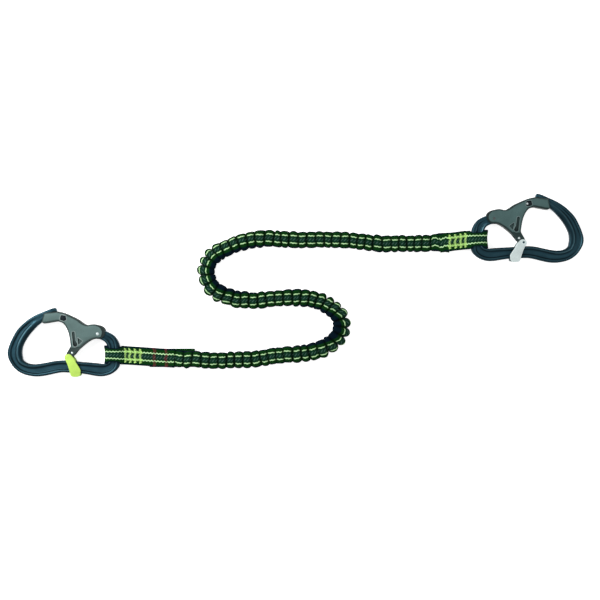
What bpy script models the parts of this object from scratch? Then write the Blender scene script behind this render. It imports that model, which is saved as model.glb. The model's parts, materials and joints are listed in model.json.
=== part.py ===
"""Elastic safety tether: webbing gathered over an elastic core, with a locking snap hook at each end.

Sizes are millimetres and become metres when a mesh is made. A hook is drawn about its gate
pivot, x to the rear and y to the gate side, with z = 0 in its middle plane. The right hook is
the left one turned over. The whole tether lies on z = 0.
"""

import math

import bmesh
import bpy
from mathutils import Matrix, Vector

MM = 0.001
GAP = 0.3

# Hook layers, from the middle plane out
FRAME_THICK = 11.0
SIDE_GAP = 0.4
GATE_WALL = 2.3
STEM_WALL = 1.5
LEVER_WALL = 1.5
FRAME_HALF = FRAME_THICK / 2
FORK_HALF = FRAME_HALF + SIDE_GAP
GATE_HALF = FORK_HALF + GATE_WALL
STEM_HALF = FORK_HALF + STEM_WALL
LEVER_INNER = STEM_HALF + GAP
LEVER_HALF = LEVER_INNER + LEVER_WALL

# Frame section: two rims with a groove between them on both faces
RIM_WIDTH = 4.3
RIM_SLOPE = 0.9
RIM_ROUND = 2.3
GROOVE_DEPTH = 2.0
LUG_RADIUS = 6.8
EAR_GAP_HALF = 2.6
EAR_BORE = 5.6

# Pins and springs
PIVOT_RADIUS = 1.85
STEM_RIVET_RADIUS = 1.3
LEVER_PIN_RADIUS = 1.3
GATE_WIRE = 0.9
GATE_COIL_RADIUS = 3.2
GATE_COIL_TURNS = 2.75
GATE_COIL_PITCH = 1.35
LEVER_WIRE = 0.5
LEVER_SPIRAL_TURNS = 1.2
LEVER_SPIRAL_PITCH = 0.9
SPRING_RECESS = 0.9

# Gate
PIVOT_END_CENTRE = (0.9, 2.2)
PIVOT_END_RADIUS = 9.4
PIVOT_END_ANGLES = (-105.0, 75.0)
STEM_RIVET = (-35.2, -26.3)
STEM_STEP = [(-10.0, -18.2), (-29.4, -18.2), (-32.0, -19.6), (-35.0, -19.4), (-60.0, -17.4)]
FORK_FLOOR_Y = -22.8
WINDOW_CENTRE = (-47.6, 22.0)
WINDOW_SIZE = 8.2
WINDOW_ROUND = 2.2
LATCH_SUNK = 1.2
POCKET_DEPTH = 1.5
SLOT_TOP = (-33.5, 1.3)
SLOT_LOW = (-32.5, -8.8)
SLOT_HALF = 1.85
BULB_CENTRE = (-31.0, -14.6)
BULB_RADIUS = 3.1
CORNER_POCKET = [(-27.9, -5.0), (-26.3, -15.3), (-20.8, -9.9)]
CORNER_ROUND = 1.1
EDGE_ROUND = 1.1

# Lever
LEVER_PIVOT = (-41.5, -32.0)
LEVER_LOBE_RADIUS = 3.3
LEVER_LOBE_ANGLES = (165.0, 310.0)
WEB_INNER_Y = -55.9

# Rear bow, which carries the webbing eye
BOW_CENTRE = (22.4, -29.2)
BOW_OUTER = 9.4
BOW_INNER = 9.2

# Webbing
WEB_WIDTH = 25.0
EYE_WIDTH = 24.4
PLY = 2.4
EYE_CAVITY_HALF = 6.6
EYE_FRONT = {"left": 11.0, "right": 12.3}
EYE_ROUND_FROM = -4.0
EYE_SEAM = 14.0
NECK_FLAT_FROM = 20.0
NECK_HALF = 2.4
NECK_END_Z = 8.0
LAYER_THICK = 2.2
GATHER_HALF_WIDTH = 11.0
GATHER_HALF_THICK = 6.7
GATHER_SWELL = 30.0
PUCKERS = 70
PUCKER_DEPTH = 0.09
GATHER_SIDES = 10
GATHER_WALL = 2.7
CORE_PLAY = 0.45
FLOOR_GAP = 0.3

# Where the gathered webbing climbs over the fold, settles on the floor and rises to the right neck
FOLD_CLIMB = 1.7
FOLD_CLIMB_RUN = 26.0
SETTLE_FROM = 28.0
SETTLE_RUN = 34.0
RISE_RUN = 30.0

# Half the length of a cutter that goes right through
THROUGH = 20.0

HOOK_Z = LEVER_HALF
PLACES = {
    "left": {"pivot": (-274.8, -66.9), "turn": 0.0, "flip": 0.0, "way": 1},
    "right": {"pivot": (274.5, 93.0), "turn": -1.4, "flip": 180.0, "way": -1},
}

# Where the sewn necks end and the gathered webbing starts
GATHER_START_X = -168.0
GATHER_END_X = 198.0

# Route of the gathered webbing: x, y, lean of its flat to the right of travel in degrees
ROUTE = [
    (-168.0, -101.2, 0),
    (-150.0, -101.6, 0),
    (-117.2, -103.8, 0),
    (-87.0, -103.2, 0),
    (-56.9, -101.4, 0),
    (-26.8, -97.4, 0),
    (3.3, -94.5, 2),
    (23.8, -91.0, 6),
    (40.4, -85.1, 12),
    (51.3, -77.5, 16),
    (59.2, -68.0, 18),
    (62.5, -55.3, 18),
    (59.4, -42.2, 16),
    (47.4, -30.5, 12),
    (33.5, -22.9, 6),
    (10.8, -17.4, 2),
    (-11.7, -16.8, 0),
    (-41.8, -19.3, 0),
    (-63.0, -19.9, -2),
    (-81.7, -18.0, -5),
    (-98.4, -13.3, -9),
    (-111.2, -6.6, -13),
    (-119.7, 2.7, -17),
    (-124.0, 17.0, -18),
    (-121.5, 30.7, -17),
    (-113.4, 42.2, -13),
    (-102.2, 49.3, -8),
    (-87.0, 56.2, -4),
    (-72.0, 61.0, 0),
    (-49.3, 65.0, 0),
    (-26.8, 64.8, 0),
    (3.3, 63.9, 0),
    (48.7, 64.1, 0),
    (89.0, 61.6, 0),
    (115.0, 58.8, 0),
    (144.6, 58.8, 0),
    (171.1, 58.6, 0),
    (198.0, 60.2, 0),
]

# Centre line of each sewn neck: x and y from the eye towards the gathered webbing
NECKS = {
    "left": [(-266.0, -95.9), (-252.4, -96.1), (-241.2, -96.5), (-215.4, -98.1), (-190.0, -100.0), (-168.0, -101.2)],
    "right": [(265.6, 64.6), (251.7, 64.3), (233.2, 62.9), (215.5, 60.9), (198.0, 60.2)],
}

# Layers sewn under the necks: x and drop below the neck, from the eye side on, and the
# centre line as a point and its slope
FOLD_PATH = [(-204.0, 0.0), (-188.0, 0.0), (-174.0, 0.0), (-160.0, 1.9), (-150.0, 2.6), (-141.0, 2.7)]
FOLD_LINE = (-204.0, -100.5, 0.0)
TAIL_PATH = [(237.5, 2.2), (235.2, 0.8), (231.4, 0.1), (212.0, 0.0), (199.5, 0.0)]
TAIL_LINE = (201.5, 59.0, 0.139)

# Frame stations from the arm to the nose tip: a point of the outer and of the inner edge
CROOK_X = -106.6
STATIONS = [
    ((3.4, 6.2), (-2.4, -6.4)),
    ((9.8, 4.1), (1.8, -7.4)),
    ((16.8, 1.0), (6.1, -9.0)),
    ((23.2, -3.3), (9.8, -11.4)),
    ((28.3, -10.7), (12.0, -14.6)),
    ((30.7, -18.2), (BOW_CENTRE[0] - BOW_INNER - 0.2, -19.6)),
    ((BOW_CENTRE[0] + BOW_OUTER, BOW_CENTRE[1]), (BOW_CENTRE[0] - BOW_INNER, BOW_CENTRE[1])),
    ((30.9, -39.0), (BOW_CENTRE[0] - BOW_INNER - 0.1, -37.6)),
    ((29.0, -44.5), (12.7, -40.8)),
    ((25.0, -50.0), (10.8, -42.5)),
    ((17.9, -55.6), (6.4, -42.6)),
    ((8.2, -58.7), (1.2, -41.6)),
    ((-1.4, -58.4), (-4.5, -40.7)),
    ((-12.1, -56.2), (-12.5, -39.8)),
    ((-23.5, -54.1), (-23.5, -39.1)),
    ((-36.0, -53.1), (-36.0, -37.9)),
    ((-48.4, -52.4), (-49.5, -37.0)),
    ((-58.0, -53.2), (-60.5, -37.8)),
    ((-67.7, -55.6), (-69.5, -39.5)),
    ((-78.4, -58.4), (-78.5, -41.1)),
    ((-89.1, -59.1), (-87.0, -42.0)),
    ((-100.4, -56.9), (-94.5, -41.5)),
    ((-109.2, -53.0), (-99.8, -39.6)),
    ((-116.6, -46.8), (-103.8, -36.2)),
    ((-121.6, -39.6), (CROOK_X, -31.5)),
    ((-124.8, -32.1), (CROOK_X, -28.0)),
    ((-125.2, -23.6), (CROOK_X, -23.0)),
    ((-122.7, -15.0), (CROOK_X, -18.5)),
    ((-117.9, -4.3), (-100.2, -9.3)),
    ((-111.9, 5.8), (-94.6, -1.1)),
    ((-103.0, 14.9), (-89.1, 5.3)),
    ((-94.6, 21.4), (-83.7, 11.0)),
    ((-84.5, 27.0), (-77.2, 16.3)),
    ((-76.6, 30.3), (-71.0, 22.2)),
    ((-69.8, 33.1), (-65.7, 27.5)),
    ((-64.2, 35.3), (-61.6, 30.6)),
    ((-60.0, 36.3), (-58.6, 31.2)),
]

# Gate casting, anticlockwise from its nose end to the lever lobe, and back from the stem
GATE_FRONT = [
    (-57.0, 31.0),
    (-74.6, 29.3),
    (-77.8, 16.4),
    (-74.5, 14.2),
    (-70.0, 14.6),
    (-65.7, 15.4),
    (-60.0, 16.3),
    (-54.6, 17.0),
    (-48.4, 14.9),
    (-44.2, 10.1),
    (-41.0, 3.2),
    (-39.3, -3.3),
    (-38.2, -10.7),
    (-37.7, -17.2),
    (-39.9, -21.4),
    (-42.5, -25.7),
    (-43.8, -28.8),
]
GATE_REAR = [
    (-32.4, -29.5),
    (-28.1, -24.2),
    (-23.8, -19.9),
    (-17.4, -14.5),
    (-11.0, -9.9),
    (-5.7, -7.4),
]
GATE_TOP = [
    (0.0, 12.1),
    (-3.2, 12.9),
    (-6.5, 13.3),
    (-10.5, 12.9),
    (-15.0, 12.2),
    (-20.6, 14.9),
    (-27.1, 19.7),
    (-35.6, 24.0),
    (-44.2, 27.8),
    (-50.6, 29.9),
]
NOSE_SLOT = [
    (-79.5, 13.2),
    (-76.7, 15.8),
    (-70.5, 21.7),
    (-65.2, 27.0),
    (-60.3, 30.4),
    (-57.0, 31.3),
    (-57.0, 45.0),
    (-95.0, 45.0),
    (-95.0, 13.2),
]

LEVER_OUTLINE = [
    (-44.2, -28.6),
    (-45.5, -30.6),
    (-46.8, -34.3),
    (-44.2, -39.0),
    (-40.5, -49.2),
    (-38.8, -56.2),
    (-35.6, -58.7),
    (-29.2, -58.4),
    (-24.9, -55.6),
    (-24.3, -50.9),
    (-28.6, -41.7),
    (-32.4, -34.3),
    (-36.7, -29.6),
    (-41.0, -28.0),
]


def clear_scene():
    for item in list(bpy.data.objects):
        bpy.data.objects.remove(item)


def make_material(name, colour, rough, metal):
    material = bpy.data.materials.new(name)
    material.use_nodes = True
    material.diffuse_color = (*colour, 1)
    shader = material.node_tree.nodes["Principled BSDF"]
    shader.inputs["Base Color"].default_value = (*colour, 1)
    shader.inputs["Roughness"].default_value = rough
    shader.inputs["Metallic"].default_value = metal
    return material


def add_mesh(name, bm, material=None, smooth=35):
    """Turn millimetre geometry into an object in metres, with its faces outward."""
    bmesh.ops.scale(bm, vec=(MM, MM, MM), verts=bm.verts)
    bmesh.ops.recalc_face_normals(bm, faces=bm.faces)
    mesh = bpy.data.meshes.new(name)
    bm.to_mesh(mesh)
    bm.free()
    mesh.shade_smooth()
    mesh.set_sharp_from_angle(angle=math.radians(smooth))
    item = bpy.data.objects.new(name, mesh)
    bpy.context.collection.objects.link(item)
    if material:
        mesh.materials.append(material)
    return item


def spline(points, parts):
    """Points on a smooth open curve through the given ones, with equal parts to a span."""
    points = [Vector(p) for p in points]
    ends = [2 * points[0] - points[1]] + points + [2 * points[-1] - points[-2]]
    curve = []
    for i in range(len(points) - 1):
        a, b, c, d = ends[i : i + 4]
        for k in range(parts):
            t = k / parts
            bend = (c - a) * t + (2 * a - 5 * b + 4 * c - d) * t**2 + (3 * b - a - 3 * c + d) * t**3
            curve.append(b + bend / 2)
    return curve + [points[-1]]


def even_points(points, count):
    """The same curve with its points at equal steps of length."""
    curve = spline(points, 12)
    run = [0.0]
    for a, b in zip(curve, curve[1:]):
        run.append(run[-1] + (b.xy - a.xy).length)
    even = []
    k = 0
    for i in range(count):
        want = run[-1] * i / (count - 1)
        while k < len(run) - 2 and run[k + 1] < want:
            k += 1
        share = (want - run[k]) / (run[k + 1] - run[k])
        even.append(curve[k].lerp(curve[k + 1], min(share, 1.0)))
    return even, run[-1]


def arc(centre, radius, start, end, count):
    """Points along an arc, its angles in degrees."""
    angles = [math.radians(start + (end - start) * i / (count - 1)) for i in range(count)]
    return [(centre[0] + radius * math.cos(a), centre[1] + radius * math.sin(a)) for a in angles]


def loft(rings):
    """One closed skin over rings of equal count."""
    bm = bmesh.new()
    rows = [[bm.verts.new(p) for p in ring] for ring in rings]
    skin_between(bm, rows)
    bm.faces.new(rows[0])
    bm.faces.new(rows[-1])
    return bm


def skin_between(bm, rows):
    count = len(rows[0])
    for low, high in zip(rows, rows[1:]):
        for i in range(count):
            j = (i + 1) % count
            bm.faces.new((low[i], low[j], high[j], high[i]))


def prism(outline, low, high):
    """An outline drawn in x and y, extruded from low to high along z."""
    bm = bmesh.new()
    face = bm.faces.new([bm.verts.new((x, y, low)) for x, y in outline])
    pushed = bmesh.ops.extrude_face_region(bm, geom=[face])
    top = [v for v in pushed["geom"] if isinstance(v, bmesh.types.BMVert)]
    bmesh.ops.translate(bm, vec=(0, 0, high - low), verts=top)
    return bm


def rod(centre, radius, low, high, sides=20):
    return prism(arc(centre, radius, 0, 360 - 360 / sides, sides), low, high)


def rounded(corners, radius, parts=3):
    """A closed outline whose corners are drawn as short curves."""
    corners = [Vector(c) for c in corners]
    outline = []
    for before, corner, after in zip(corners[-1:] + corners[:-1], corners, corners[1:] + corners[:1]):
        first = corner + (before - corner).normalized() * radius
        last = corner + (after - corner).normalized() * radius
        for k in range(parts + 1):
            t = k / parts
            outline.append(first * (1 - t) ** 2 + corner * 2 * t * (1 - t) + last * t**2)
    return outline


def window_outline(play=0.0):
    """The rounded square window of the gate; play makes it smaller all round."""
    x, y = WINDOW_CENTRE
    half = WINDOW_SIZE / 2 - play
    square = [(x + half, y + half), (x - half, y + half), (x - half, y - half), (x + half, y - half)]
    return rounded(square, WINDOW_ROUND)


def keyhole_outline():
    """A narrow slot that ends in a round bulb."""
    bulb = arc(BULB_CENTRE, BULB_RADIUS, 165, 375, 11)
    left = (SLOT_LOW[0] - SLOT_HALF, SLOT_LOW[1])
    right = (SLOT_LOW[0] + SLOT_HALF, SLOT_LOW[1])
    return arc(SLOT_TOP, SLOT_HALF, 4, 184, 7) + [left] + bulb + [right]


def round_edges(item, width, segments=2, angle=50):
    bevel = item.modifiers.new("edges", "BEVEL")
    bevel.width = width * MM
    bevel.segments = segments
    bevel.limit_method = "ANGLE"
    bevel.angle_limit = math.radians(angle)


def cut(item, name, bm):
    """Cut a shape out of an object; the cutter stays as a hidden guide."""
    cutter = add_mesh(item.name + "_" + name + "_cut", bm)
    cutter.hide_render = True
    cutter.display_type = "WIRE"
    boolean = item.modifiers.new(name, "BOOLEAN")
    boolean.operation = "DIFFERENCE"
    boolean.solver = "EXACT"
    boolean.object = cutter


def add_wire(name, points, diameter, material):
    """A round wire through millimetre points, with closed ends."""
    data = bpy.data.curves.new(name, "CURVE")
    data.dimensions = "3D"
    data.bevel_depth = diameter / 2 * MM
    data.bevel_resolution = 1
    data.use_fill_caps = True
    line = data.splines.new("POLY")
    line.points.add(len(points) - 1)
    for point, place in zip(line.points, points):
        point.co = (place[0] * MM, place[1] * MM, place[2] * MM, 1)
    item = bpy.data.objects.new(name, data)
    bpy.context.collection.objects.link(item)
    data.materials.append(material)
    return item


def attach(item, parent, offset):
    """Hang an object, and the guides that cut it, on an empty."""
    guides = [m.object for m in item.modifiers if m.type == "BOOLEAN"]
    for each in [item] + guides:
        each.parent = parent
        each.location = Vector((*offset, 0)) * MM


def add_empty(name, parent, place):
    empty = bpy.data.objects.new(name, None)
    bpy.context.collection.objects.link(empty)
    empty.parent = parent
    empty.location = Vector(place) * MM
    return empty


def frame_section(outer, inner, groove, half):
    """A ring across the frame: rounded flanks, flat rims and a groove on each face."""
    across = outer - inner
    middle = (outer + inner) / 2
    reach = across.length / 2
    across.normalize()
    flank = min(RIM_ROUND, reach * 0.5)
    rim = min(RIM_WIDTH, reach * 0.7)
    quarter = [
        (reach, half - flank),
        (reach - flank, half),
        (reach - rim, half),
        (max(reach - rim - RIM_SLOPE, reach * 0.1), half - GROOVE_DEPTH * groove),
    ]
    back = quarter[::-1]
    loop = [(a, z) for a, z in quarter] + [(-a, z) for a, z in back]
    loop += [(-a, -z) for a, z in quarter] + [(a, -z) for a, z in back]
    return [(middle.x + across.x * a, middle.y + across.y * a, z) for a, z in loop]


def frame_rings():
    """Rings from the round end of the pivot lug, along the arm, bow and spine, to the nose tip."""
    first_out, first_in = [Vector(p) for p in STATIONS[0]]
    across = (first_out - first_in).normalized()
    along = Vector((across.y, -across.x))
    rings = []
    for degrees in (80, 62, 42, 21):
        angle = math.radians(degrees)
        centre = -along * LUG_RADIUS * math.sin(angle)
        side = across * LUG_RADIUS * math.cos(angle)
        rings.append(frame_section(centre + side, centre - side, 0, FRAME_HALF))
    outer = spline([s[0] for s in STATIONS], 2)
    inner = spline([s[1] for s in STATIONS], 2)
    last = len(outer) - 1
    for i, (out, into) in enumerate(zip(outer, inner)):
        groove = min(1, max(0, (i - 3) / 4)) * min(1, max(0, (last - 8 - i) / 5))
        tip = min(1, (last - i) / 4)
        rings.append(frame_section(out, into, groove, FRAME_HALF - 1.2 * (1 - tip)))
    return rings


def make_frame(side, material):
    frame = add_mesh(side + "_hook_frame", loft(frame_rings()), material)
    cut(frame, "pivot", rod((0, 0), PIVOT_RADIUS + GAP, -THROUGH, THROUGH))
    ears = arc((0, 0), EAR_BORE, -90, 90, 9) + [(-14, EAR_BORE), (-14, -EAR_BORE)]
    cut(frame, "ears", prism(ears, -EAR_GAP_HALF, EAR_GAP_HALF))
    return frame


def gate_outline():
    lobe = arc(LEVER_PIVOT, LEVER_LOBE_RADIUS, *LEVER_LOBE_ANGLES, 7)
    end = arc(PIVOT_END_CENTRE, PIVOT_END_RADIUS, *PIVOT_END_ANGLES, 13)
    return GATE_FRONT + lobe + GATE_REAR + end + GATE_TOP


def make_gate(side, material):
    """One casting: cheeks at the nose and the pivot, and a forked stem down to the lever."""
    gate = add_mesh(side + "_gate", prism(gate_outline(), -GATE_HALF, GATE_HALF), material)
    round_edges(gate, EDGE_ROUND)
    cut(gate, "nose_slot", prism(NOSE_SLOT, -FORK_HALF, FORK_HALF))
    fork = arc((0, 0), LUG_RADIUS + 0.8, 90, 270, 11) + [(20, -LUG_RADIUS - 0.8), (20, 20), (0, 20)]
    cut(gate, "pivot_slot", prism(fork, -FORK_HALF, FORK_HALF))
    below = [(-60, -60), (-10, -60), (-10, FORK_FLOOR_Y), (-60, FORK_FLOOR_Y)]
    cut(gate, "stem_slot", prism(below, -FORK_HALF, FORK_HALF))
    step = [(-60, -60), (-10, -60)] + STEM_STEP
    cut(gate, "step_top", prism(step, STEM_HALF, THROUGH))
    cut(gate, "step_bottom", prism(step, -THROUGH, -STEM_HALF))
    cut(gate, "window", prism(window_outline(), -THROUGH, THROUGH))
    for name, outline in (("keyhole", keyhole_outline()), ("corner", rounded(CORNER_POCKET, CORNER_ROUND))):
        cut(gate, name + "_top", prism(outline, GATE_HALF - POCKET_DEPTH, THROUGH))
        cut(gate, name + "_bottom", prism(outline, -THROUGH, -GATE_HALF + POCKET_DEPTH))
    cut(gate, "pivot_hole", rod((0, 0), PIVOT_RADIUS + GAP, -THROUGH, THROUGH))
    cut(gate, "rivet_hole", rod(STEM_RIVET, STEM_RIVET_RADIUS + GAP, -THROUGH, THROUGH, 14))
    cut(gate, "lever_hole", rod(LEVER_PIVOT, LEVER_PIN_RADIUS + GAP, -THROUGH, THROUGH, 14))
    recess = rod(LEVER_PIVOT, LEVER_LOBE_RADIUS - 0.1, STEM_HALF - SPRING_RECESS, THROUGH)
    cut(gate, "spring_recess", recess)
    return gate


def make_lever(side, material):
    """A bent lever whose cheeks straddle the spine and whose web lies outside it."""
    lever = add_mesh(side + "_lock_lever", prism(LEVER_OUTLINE, -LEVER_HALF, LEVER_HALF), material)
    round_edges(lever, 0.5)
    inside = [(-28.3, WEB_INNER_Y), (-23.0, -60.0), (-15, -60), (-15, -20), (-60, -20), (-60, WEB_INNER_Y)]
    cut(lever, "inside", prism(inside, -LEVER_INNER, LEVER_INNER))
    cut(lever, "pin_hole", rod(LEVER_PIVOT, LEVER_PIN_RADIUS + GAP, -THROUGH, THROUGH, 14))
    return lever


def gate_spring_points():
    """A torsion coil round the pivot, with one leg on the gate and one on the frame."""
    count = int(GATE_COIL_TURNS * 10) + 1
    height = GATE_COIL_TURNS * GATE_COIL_PITCH
    coil = []
    for i in range(count):
        angle = math.radians(90 + 360 * GATE_COIL_TURNS * i / (count - 1))
        z = -height / 2 + height * i / (count - 1)
        coil.append((GATE_COIL_RADIUS * math.cos(angle), GATE_COIL_RADIUS * math.sin(angle), z))
    gate_leg = (LUG_RADIUS - 1.2) * -1, GATE_COIL_RADIUS + 0.1, coil[0][2]
    x, y, z = coil[-1]
    frame_leg = (x, y - 1.6, z)
    return [gate_leg] + coil + [frame_leg]


def lever_spring_points():
    """A flat spiral round the lever pin, in the recess of the upper stem cheek."""
    z = STEM_HALF - SPRING_RECESS / 2 + 0.15
    count = int(LEVER_SPIRAL_TURNS * 10) + 1
    points = []
    for i in range(count):
        turn = LEVER_SPIRAL_TURNS * i / (count - 1)
        radius = LEVER_PIN_RADIUS + GAP + LEVER_WIRE / 2 + LEVER_SPIRAL_PITCH * turn
        angle = 2 * math.pi * turn
        points.append((LEVER_PIVOT[0] + radius * math.cos(angle), LEVER_PIVOT[1] + radius * math.sin(angle), z))
    return points


def add_pin(name, centre, radius, low, high, material):
    pin = add_mesh(name, rod(centre, radius, low, high), material)
    round_edges(pin, 0.25, 1)
    return pin


def build_hook(side, mats, root):
    """Frame, gate and lever of one hook, each group on an empty at its own joint."""
    place = PLACES[side]
    base = add_empty(side + "_hook_base", root, (*place["pivot"], HOOK_Z))
    base.rotation_euler = (0, math.radians(place["flip"]), math.radians(place["turn"]))
    swing = add_empty(side + "_swing_axis", base, (*BOW_CENTRE, 0))
    to_pivot = (-BOW_CENTRE[0], -BOW_CENTRE[1])
    hinge = add_empty(side + "_gate_axis", swing, (*to_pivot, 0))
    knuckle = add_empty(side + "_lever_axis", hinge, (*LEVER_PIVOT, 0))
    from_knuckle = (-LEVER_PIVOT[0], -LEVER_PIVOT[1])

    attach(make_frame(side, mats["frame"]), swing, to_pivot)
    pivot = add_pin(side + "_pivot_rivet", (0, 0), PIVOT_RADIUS, -GATE_HALF, GATE_HALF, mats["steel"])
    attach(pivot, swing, to_pivot)
    spring = add_wire(side + "_gate_spring", gate_spring_points(), GATE_WIRE, mats["spring"])
    attach(spring, swing, to_pivot)

    attach(make_gate(side, mats["gate"]), hinge, (0, 0))
    filling = prism(window_outline(GAP), LATCH_SUNK - GATE_HALF, GATE_HALF - LATCH_SUNK)
    attach(add_mesh(side + "_latch_block", filling, mats["dark"]), hinge, (0, 0))
    rivet = add_pin(side + "_stem_rivet", STEM_RIVET, STEM_RIVET_RADIUS, -STEM_HALF, STEM_HALF, mats["steel"])
    attach(rivet, hinge, (0, 0))
    for name, low, high in (("top", FORK_HALF, LEVER_HALF), ("bottom", -LEVER_HALF, -FORK_HALF)):
        pin = add_pin(f"{side}_lever_pin_{name}", LEVER_PIVOT, LEVER_PIN_RADIUS, low, high, mats["steel"])
        attach(pin, hinge, (0, 0))
    spiral = add_wire(side + "_lever_spring", lever_spring_points(), LEVER_WIRE, mats["spring"])
    attach(spiral, hinge, (0, 0))

    attach(make_lever(side, mats[side + "_lever"]), knuckle, from_knuckle)


def neck_height(u, length):
    """Height of a neck's middle, from the hook's middle plane down to the gathered part."""
    share = min(1, max(0, (u - EYE_SEAM) / (length - EYE_SEAM)))
    return HOOK_Z + (NECK_END_Z - HOOK_Z) * share


def neck_length(side):
    """From the bow's centre to the end of the neck."""
    end_x = (GATHER_START_X if side == "left" else GATHER_END_X) - GAP * PLACES[side]["way"]
    return abs(end_x - bow_point(side).x)


def eye_outlines(side, length):
    """The eye's side view: a loop round the bow that closes into a flat neck."""
    outer_half = EYE_CAVITY_HALF + PLY
    turn = [math.radians(a) for a in range(90, 271, 15)]
    reach = EYE_FRONT[side] + EYE_ROUND_FROM
    outer = [(EYE_ROUND_FROM + (reach + PLY) * math.cos(a), outer_half * math.sin(a)) for a in turn]
    inner = [(EYE_ROUND_FROM + reach * math.cos(a), EYE_CAVITY_HALF * math.sin(a)) for a in turn]
    taper = [(3.0, outer_half), (8.6, outer_half - 0.9), (12.6, 5.2), (16.2, 3.1)]
    steps = 6
    rest = length - NECK_FLAT_FROM
    along = [(NECK_FLAT_FROM + rest * i / steps, NECK_HALF) for i in range(steps + 1)]
    lower = [(u, -z) for u, z in taper + along]
    upper = (taper + along)[::-1]
    closing = [(3.0, EYE_CAVITY_HALF), (7.8, EYE_CAVITY_HALF - 0.7), (11.2, 3.2)]
    hole = inner + [(u, -z) for u, z in closing] + [(EYE_SEAM, 0)] + closing[::-1]
    return outer + lower + upper, hole


def neck_y(side, x):
    """The neck's centre line at a given x."""
    points = sorted(NECKS[side])
    for a, b in zip(points, points[1:]):
        if x <= b[0]:
            return a[1] + (b[1] - a[1]) * (x - a[0]) / (b[0] - a[0])
    return points[-1][1]


def bow_point(side):
    """The bow's centre in the tether's own x and y."""
    place = PLACES[side]
    turn = Matrix.Rotation(math.radians(place["turn"]), 2)
    offset = turn @ Vector((BOW_CENTRE[0] * place["way"], BOW_CENTRE[1]))
    return Vector(place["pivot"]) + offset


def make_eye(side, material):
    """A sewn loop round the bow and its doubled neck, of one width of webbing."""
    axis = bow_point(side)
    way = PLACES[side]["way"]
    length = neck_length(side)
    outer, hole = eye_outlines(side, length)
    bm = bmesh.new()
    for loop in (outer, hole):
        verts = [bm.verts.new((u, 0, z)) for u, z in loop]
        for a, b in zip(verts, verts[1:] + verts[:1]):
            bm.edges.new((a, b))
    bmesh.ops.triangle_fill(bm, edges=bm.edges, use_beauty=True)
    pushed = bmesh.ops.extrude_face_region(bm, geom=list(bm.faces))
    far = {v for v in pushed["geom"] if isinstance(v, bmesh.types.BMVert)}
    drift = axis.y - neck_y(side, axis.x)
    for vert in bm.verts:
        u, _, z = vert.co
        half = (EYE_WIDTH + (WEB_WIDTH - EYE_WIDTH) * min(1, max(0, u / NECK_FLAT_FROM))) / 2
        x = axis.x + u * way
        y = neck_y(side, x) + drift * max(0, 1 - max(0, u) / length)
        vert.co = (x, y + (half if vert in far else -half), z + neck_height(u, length))
    return add_mesh(side + "_eye", bm, material, 50)


def make_layer(side, name, path, line, material):
    """A single layer under the neck, from x and drop pairs; line is a point and a slope."""
    bow = bow_point(side)
    half = WEB_WIDTH / 2
    rings = []
    for x, drop in path:
        y = line[1] + line[2] * (x - line[0])
        top = neck_height(abs(x - bow.x), neck_length(side)) - NECK_HALF - GAP - drop
        low = top - LAYER_THICK
        rings.append([(x, y - half, low), (x, y + half, low), (x, y + half, top), (x, y - half, top)])
    return add_mesh(name, loft(rings), material)


def gather_size(run, length):
    """Half width and half thickness of the gathered webbing at a distance along it."""
    near = min(run, length - run) / GATHER_SWELL
    swell = math.sin(math.pi / 2 * min(1, near))
    return GATHER_HALF_WIDTH, NECK_HALF + 0.2 + (GATHER_HALF_THICK - NECK_HALF - 0.2) * swell


def gather_height(half_wide, half_thick, lean, run, length):
    """Height of its middle: lying on its lower side, and over the tail near the left neck."""
    sag = math.hypot(half_wide * math.sin(lean), half_thick * math.cos(lean))
    lying = FLOOR_GAP + sag
    left = min(1, max(0, (run - SETTLE_FROM) / SETTLE_RUN))
    right = min(1, max(0, (length - run) / RISE_RUN))
    over_left = NECK_END_Z + FOLD_CLIMB * math.sin(math.pi / 2 * min(1, run / FOLD_CLIMB_RUN))
    lifted = over_left + (lying - over_left) * left * left * (3 - 2 * left)
    return NECK_END_Z + (lifted - NECK_END_Z) * right


def gather_rings(count, inset, play=0.0, ribbed=False):
    """Oval rings square to the route; every other ring is drawn in where the webbing is ribbed."""
    points, length = even_points(ROUTE, count)
    rings = []
    for i, point in enumerate(points):
        before = points[max(0, i - 1)]
        after = points[min(count - 1, i + 1)]
        ahead = Vector((after.x - before.x, after.y - before.y, 0)).normalized()
        if i in (0, count - 1):
            ahead = Vector((1, 0, 0))
        right = Vector((ahead.y, -ahead.x, 0))
        lean = math.radians(point.z)
        run = length * i / (count - 1)
        wide, thick = gather_size(run, length)
        z = gather_height(wide, thick, lean, run, length)
        drawn = 1 - (PUCKER_DEPTH if ribbed and i % 2 else 0)
        flat = right * math.cos(lean) - Vector((0, 0, math.sin(lean)))
        up = right * math.sin(lean) + Vector((0, 0, math.cos(lean)))
        centre = Vector((point.x, point.y, z))
        ring = []
        half_flat = wide * drawn - inset - play
        half_up = thick * (drawn - inset / wide) - play
        for k in range(GATHER_SIDES):
            angle = 2 * math.pi * (k + 0.5) / GATHER_SIDES
            ring.append(centre + flat * half_flat * math.cos(angle) + up * half_up * math.sin(angle))
        rings.append(ring)
    return rings, length


def make_gathered(material):
    """The ribbed outer webbing, with its bore open at both ends."""
    outer, length = gather_rings(2 * PUCKERS + 1, 0.0, ribbed=True)
    bore, _ = gather_rings(PUCKERS + 1, GATHER_WALL)
    bm = bmesh.new()
    skin = [[bm.verts.new(p) for p in ring] for ring in outer]
    lining = [[bm.verts.new(p) for p in ring] for ring in bore]
    skin_between(bm, skin)
    skin_between(bm, lining)
    skin_between(bm, [skin[0], lining[0]])
    skin_between(bm, [skin[-1], lining[-1]])
    print("gathered webbing length mm", round(length, 1))
    return add_mesh("elastic_webbing", bm, material, 180)


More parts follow.
